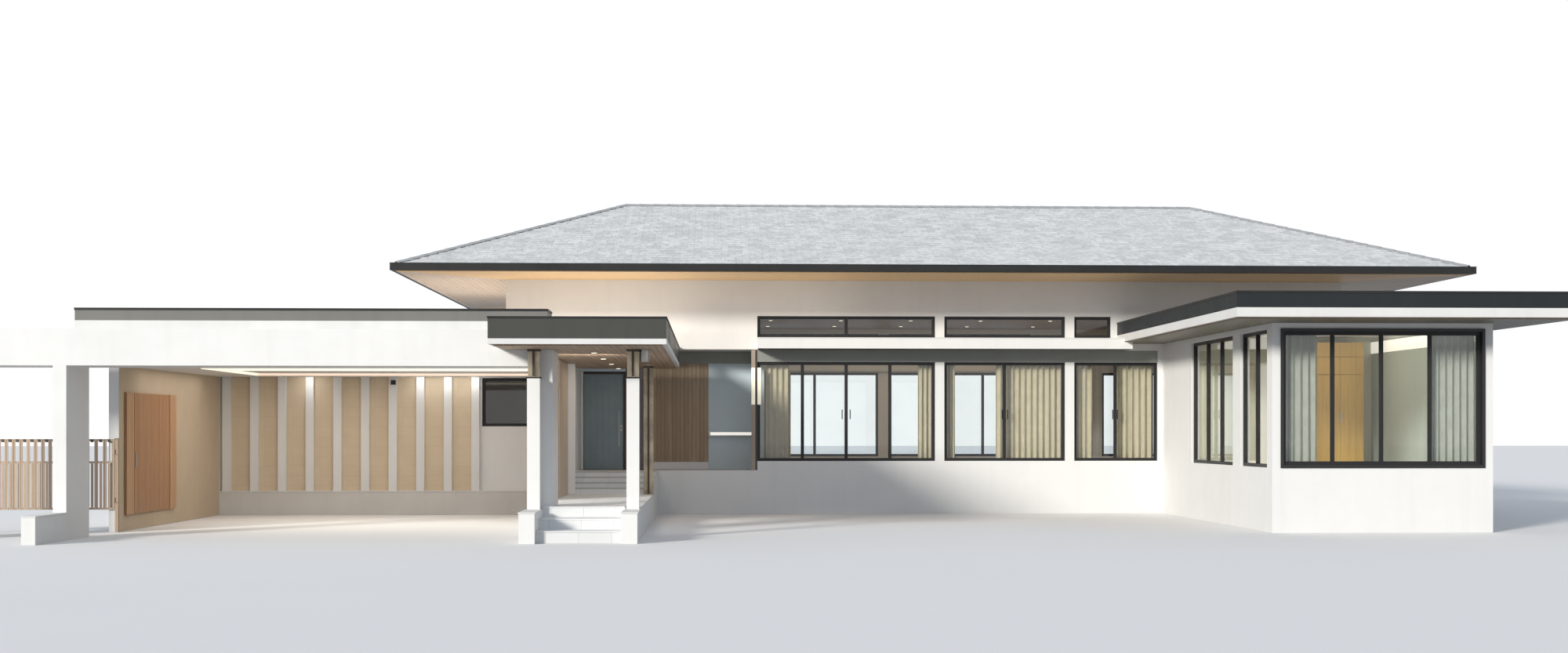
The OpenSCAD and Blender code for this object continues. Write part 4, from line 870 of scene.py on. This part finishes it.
# Hipped roof
# Flat slate-grey tiles hang in staggered courses, each lapping the one below, with angled caps
# over the hips and the ridge.
EAVE_TOP = 5970
RISE = 2180
LONG_RUN = 6300
END_RUN = 5010
COURSES = 28
TILE = 330
TILE_GAP = 2
TILE_LAP = 6
TILE_BUTT = 15
TILE_HEAD = 3
TILE_BED = 0.5
UNEVEN = 1.5
SMALLEST_TILE = 8
FEW_DARK = 1.6


def tile_material(name, light, dark):
    mat, shader, place = finish(name, 0.6)
    tone = add(place.id_data, "ShaderNodeAttribute", attribute_name="tone").outputs["Fac"]
    face = worn(place, light, dark, 0.8, 0.2, 0.0, 60.0)
    tint = mixed(times(tone, 0.5), face["Color"], (*dark, 1))
    specks = spread(noise(place, 7.0, 3.0, 0.7), 0.42, 0.62, 0.0, 0.5)
    feed(shader, "Base Color", mixed(specks, tint, (*dark, 1)))
    raise_by(shader, face["Height"], 0.003)
    return mat


slate_tiles = tile_material("slate_tiles", (0.7, 0.715, 0.72), (0.39, 0.405, 0.415))
slate_edge = coated("slate_edge", (0.36, 0.37, 0.385), (0.28, 0.29, 0.3), 0.7, grain_scale=90.0)
dress("roof_shell", slate_edge)
chance = random.Random(11)
tiles = bmesh.new()
tone_layer = tiles.faces.layers.float.new("tone")
for side in range(4):
    run, hip = (LONG_RUN, END_RUN) if side % 2 == 0 else (END_RUN, LONG_RUN)
    slope = math.hypot(run, RISE)
    lean = (RISE / slope, run / slope)
    a, b = Vector(outline[side]), Vector(outline[side + 1])
    length = (b - a).length
    along = (b - a) / length
    inward = Vector((-along.y, along.x))

    def on_slope(u, t, lift):
        flat = a + along * u + inward * (t * run - lift * lean[0])
        return metres(flat.x, flat.y, EAVE_TOP + t * RISE + lift * lean[1])

    for course in range(COURSES):
        low = course / COURSES
        high = (course + 1) / COURSES
        drop = TILE_LAP / slope if course else 0.0
        u = -TILE * (course % 2) / 2
        while u < length:
            ends = []
            for t in (low, high):
                margin = t * hip
                ends.append([min(max(e, margin), length - margin)
                             for e in (u + TILE_GAP, u + TILE - TILE_GAP)])
            u += TILE
            if ends[0][1] - ends[0][0] < SMALLEST_TILE:
                continue
            lift = TILE_BUTT + chance.uniform(-UNEVEN, UNEVEN)
            plan = [(ends[0][0], low - drop), (ends[0][1], low - drop),
                    (ends[1][1], high), (ends[1][0], high)]
            bottom = [tiles.verts.new(on_slope(e, t, TILE_BED)) for e, t in plan]
            top = [tiles.verts.new(on_slope(e, t, h))
                   for (e, t), h in zip(plan, (lift, lift, TILE_HEAD, TILE_HEAD))]
            shade = chance.random() ** FEW_DARK
            sides = [top, bottom[::-1]]
            sides += [[bottom[i], bottom[(i + 1) % 4], top[(i + 1) % 4], top[i]] for i in range(4)]
            for face in sides:
                tiles.faces.new(face)[tone_layer] = shade
bmesh.ops.remove_doubles(tiles, verts=tiles.verts[:], dist=0.00001)
bmesh.ops.dissolve_degenerate(tiles, edges=tiles.edges, dist=0.0001)
settle(cast("roof_tiles", tiles, slate_tiles))

CAP = 380
CAP_LAP = 1.08
CAP_THICK = 12
CAP_TAIL = 22
CAP_HEAD = 12
CAP_PROFILE = ((-115, 0), (-60, 7), (0, 14), (60, 7), (115, 0))
peaks = [(EAVE_LEFT + END_RUN, EAVE_FRONT + LONG_RUN),
         (EAVE_RIGHT - END_RUN, EAVE_FRONT + LONG_RUN)]
hips = [(outline[0], peaks[0]), (outline[3], peaks[0]), (outline[1], peaks[1]),
        (outline[2], peaks[1]), (peaks[0], peaks[1])]


def roof_height(x, y):
    shares = ((y - EAVE_FRONT) / LONG_RUN, (EAVE_BACK - y) / LONG_RUN,
              (x - EAVE_LEFT) / END_RUN, (EAVE_RIGHT - x) / END_RUN)
    return EAVE_TOP + RISE * min(shares)


caps = []
for start, end in hips:
    start, end = Vector(start), Vector(end)
    way = end - start
    count = round(way.length / CAP)
    side = Vector((way.y, -way.x)).normalized()
    for i in range(count):
        verts = []
        for share, lift in ((i / count, CAP_TAIL),
                            (min((i + CAP_LAP) / count, 1.0), CAP_HEAD)):
            middle = start + way * share
            for across, rise in CAP_PROFILE:
                spot = middle + side * across
                for thick in (0, CAP_THICK):
                    verts.append(metres(spot.x, spot.y, roof_height(*spot) + rise + lift + thick))
        faces = []
        for a in (0, 2, 4, 6):
            b = a + 2
            faces += [(a + 1, b + 1, b + 11, a + 11), (a, a + 10, b + 10, b),
                      (a, b, b + 1, a + 1), (a + 10, a + 11, b + 11, b + 10)]
        faces += [(0, 1, 11, 10), (8, 18, 19, 9)]
        caps.append((verts, faces))
piece("ridge_caps", caps, slate_edge)

# Side fence and gate
# Pairs of slim boards are screwed to rails between square posts, with single slats between them
# in the lower panel. Near-black blocks in the gaps at the top are painted shade on the rail
# between the boards. The gate turns on two pins.
POST = 45
BOARD = 33
BOARD_GAP = 3
TOP_SHADE_BLOCK = 56
fence_timber = timber("fence_timber", (0.6, 0.46, 0.34), (0.42, 0.3, 0.21), 0.04, "X", "Z", 0.6)
dress("side_fence side_gate", fence_timber)
fence_dark = coated("fence_dark", (0.05, 0.035, 0.026), (0.035, 0.026, 0.02), 0.5,
                    grain_scale=200.0)
for name, body, x, step, gaps in (("fence", "house", 60, 145.5, 10),
                                  ("gate", "side_gate", 1630, 171, 5)):
    middle = x + POST / 2
    pairs = {"count": gaps - 1, "step": (step, 0, 0), "body": body}
    single = {**pairs, "count": gaps}
    blocks(f"{name}_boards", [(middle + step - BOARD - BOARD_GAP, 4143, 462),
                              (middle + step + BOARD_GAP, 4143, 462)],
           (BOARD, 7, 1426), fence_timber, "timber_brown", **pairs)
    blocks(f"{name}_lower_slats", [(x + step / 2, 4150, 502)], (POST, 20, 896), fence_timber,
           "timber_brown", **single)
    # These near-black blocks are painted shade of the rail seen between the board pairs.
    blocks(f"{name}_top_shade_blocks", [(middle + step / 2 - TOP_SHADE_BLOCK / 2, 4142, 1828)],
           (TOP_SHADE_BLOCK, 36, 60), fence_dark, "timber_brown", bevel=0.003, **single)
    discs(f"{name}_screws", [(middle + step - 20, 4142, z) for z in (480, 1420, 1800)], 5, 3,
          satin_steel, "handle_steel", bevel=0.0, sides=10, turn=ACROSS, **pairs)
blocks("fence_post_caps", [(x, 4136, 1890) for x in (-4, 1556, 2536)], (68, 68, 14),
       fence_dark, "timber_brown", bevel=0.003)
blocks("gate_latch", [(1640, 4128, 1240), (1660, 4122, 1254)], (110, 14, 44), satin_steel,
       "handle_steel", bevel=0.003, body="side_gate")

# Camera, floor and light
# The view is level, from the garden, a little to the right of square. A plain pale floor and a
# white surround give soft, even light, and warm lamps are lit in the rooms. The floor throws
# back less light than it shows, so that the undersides of the roofs keep their shade.
seen = bpy.data.cameras.new("camera")
seen.lens = 40.0
seen.sensor_width = 36.0
seen.shift_y = 0.0668
seen.clip_end = 500.0
camera = linked("camera", seen)
camera.location = (-1.71, -42.67, 2.05)
camera.rotation_euler = (math.radians(90), 0.0, math.radians(-2.27))
bpy.context.scene.camera = camera

sun = bpy.data.lights.new("sun", "SUN")
sun.energy = 3.4
sun.angle = math.radians(9)
sun.color = (1.0, 0.955, 0.875)
linked("sun", sun).rotation_euler = (math.radians(72), 0.0, math.radians(-40))


def room_lamp(name, x, y, z, size, power, color, tilt=0.0):
    lamp = bpy.data.lights.new(name, "AREA")
    lamp.shape = "RECTANGLE"
    lamp.size, lamp.size_y = size
    lamp.energy = power
    lamp.color = color
    hung_up = linked(name, lamp)
    hung_up.location = metres(x, y, z)
    hung_up.rotation_euler = (math.radians(tilt), 0.0, 0.0)
    hung_up.visible_camera = False
    hung_up.visible_glossy = False
    hung_up.visible_transmission = False


UPWARDS = 180
room_lamp("living_room_lamp", 20700, 15400, 5030, (9.0, 5.5), 110, (1.0, 0.78, 0.52))
room_lamp("bedroom_lamp", 28160, 5900, 4200, (3.5, 4.0), 40, (1.0, 0.8, 0.58))
room_lamp("bay_lamp", 6100, 7600, 3360, (6.6, 4.5), 98, (1.0, 0.955, 0.9))
for x in (4783, 7471, 8143, 8815):
    room_lamp("fin_wash", x, 11060, 3365, (0.19, 0.1), 2.2, (1.0, 0.99, 0.97), 32)
room_lamp("porch_lamp", 12322, 8800, 3560, (1.0, 4.0), 22, (1.0, 0.9, 0.76))
room_lamp("porch_front_lamp", 12150, 3300, 3350, (1.2, 0.8), 42, (1.0, 0.99, 0.98), 60)
room_lamp("eaves_lamp_left", 12000, 9950, 4480, (4.4, 2.7), 34, (1.0, 0.96, 0.9), UPWARDS)
room_lamp("eaves_lamp_right", 16200, 9950, 4480, (3.4, 2.7), 12, (1.0, 0.92, 0.8), UPWARDS)
room_lamp("eaves_lamp_end", 8350, 13600, 4480, (2.2, 6.0), 42, (1.0, 0.93, 0.86), UPWARDS)
room_lamp("bedroom_cove", 28300, 5900, 3950, (3.5, 4.0), 34, (1.0, 0.93, 0.78), UPWARDS)

world = bpy.data.worlds.new("studio")
bpy.context.scene.world = world
world.use_nodes = True
tree = world.node_tree
tree.nodes.clear()
rays = add(tree, "ShaderNodeLightPath").outputs
shown = maths("MAXIMUM", rays["Is Camera Ray"], rays["Is Glossy Ray"])
shown = maths("MAXIMUM", shown, rays["Is Transmission Ray"])
even = add(tree, "ShaderNodeBackground", {"Color": (0.83, 0.93, 1.09, 1), "Strength": 0.52})
pale = add(tree, "ShaderNodeBackground", {"Color": (1.0, 1.0, 1.0, 1), "Strength": 1.0})
both = add(tree, "ShaderNodeMixShader", {0: shown, 1: even.outputs[0], 2: pale.outputs[0]})
feed(add(tree, "ShaderNodeOutputWorld"), 0, both.outputs[0])

REACH = 200.0
LEVEL = -0.002
floor_mesh = bpy.data.meshes.new("studio_floor")
floor_mesh.from_pydata([(x * REACH, y * REACH, LEVEL)
                        for x, y in ((-1, -1), (1, -1), (1, 1), (-1, 1))], [], [(0, 1, 2, 3)])
floor_paint, shader, place = finish("studio_floor", 0.9)
tint = mixed(noise(place, 0.3), (0.8, 0.8, 0.8, 1), (0.82, 0.82, 0.82, 1))
bounced = add(place.id_data, "ShaderNodeLightPath").outputs["Is Diffuse Ray"]
feed(shader, "Base Color", mixed(bounced, tint, (0.42, 0.42, 0.42, 1)))
floor_mesh.materials.append(floor_paint)
linked("studio_floor", floor_mesh)

bpy.context.scene.view_settings.view_transform = "Standard"
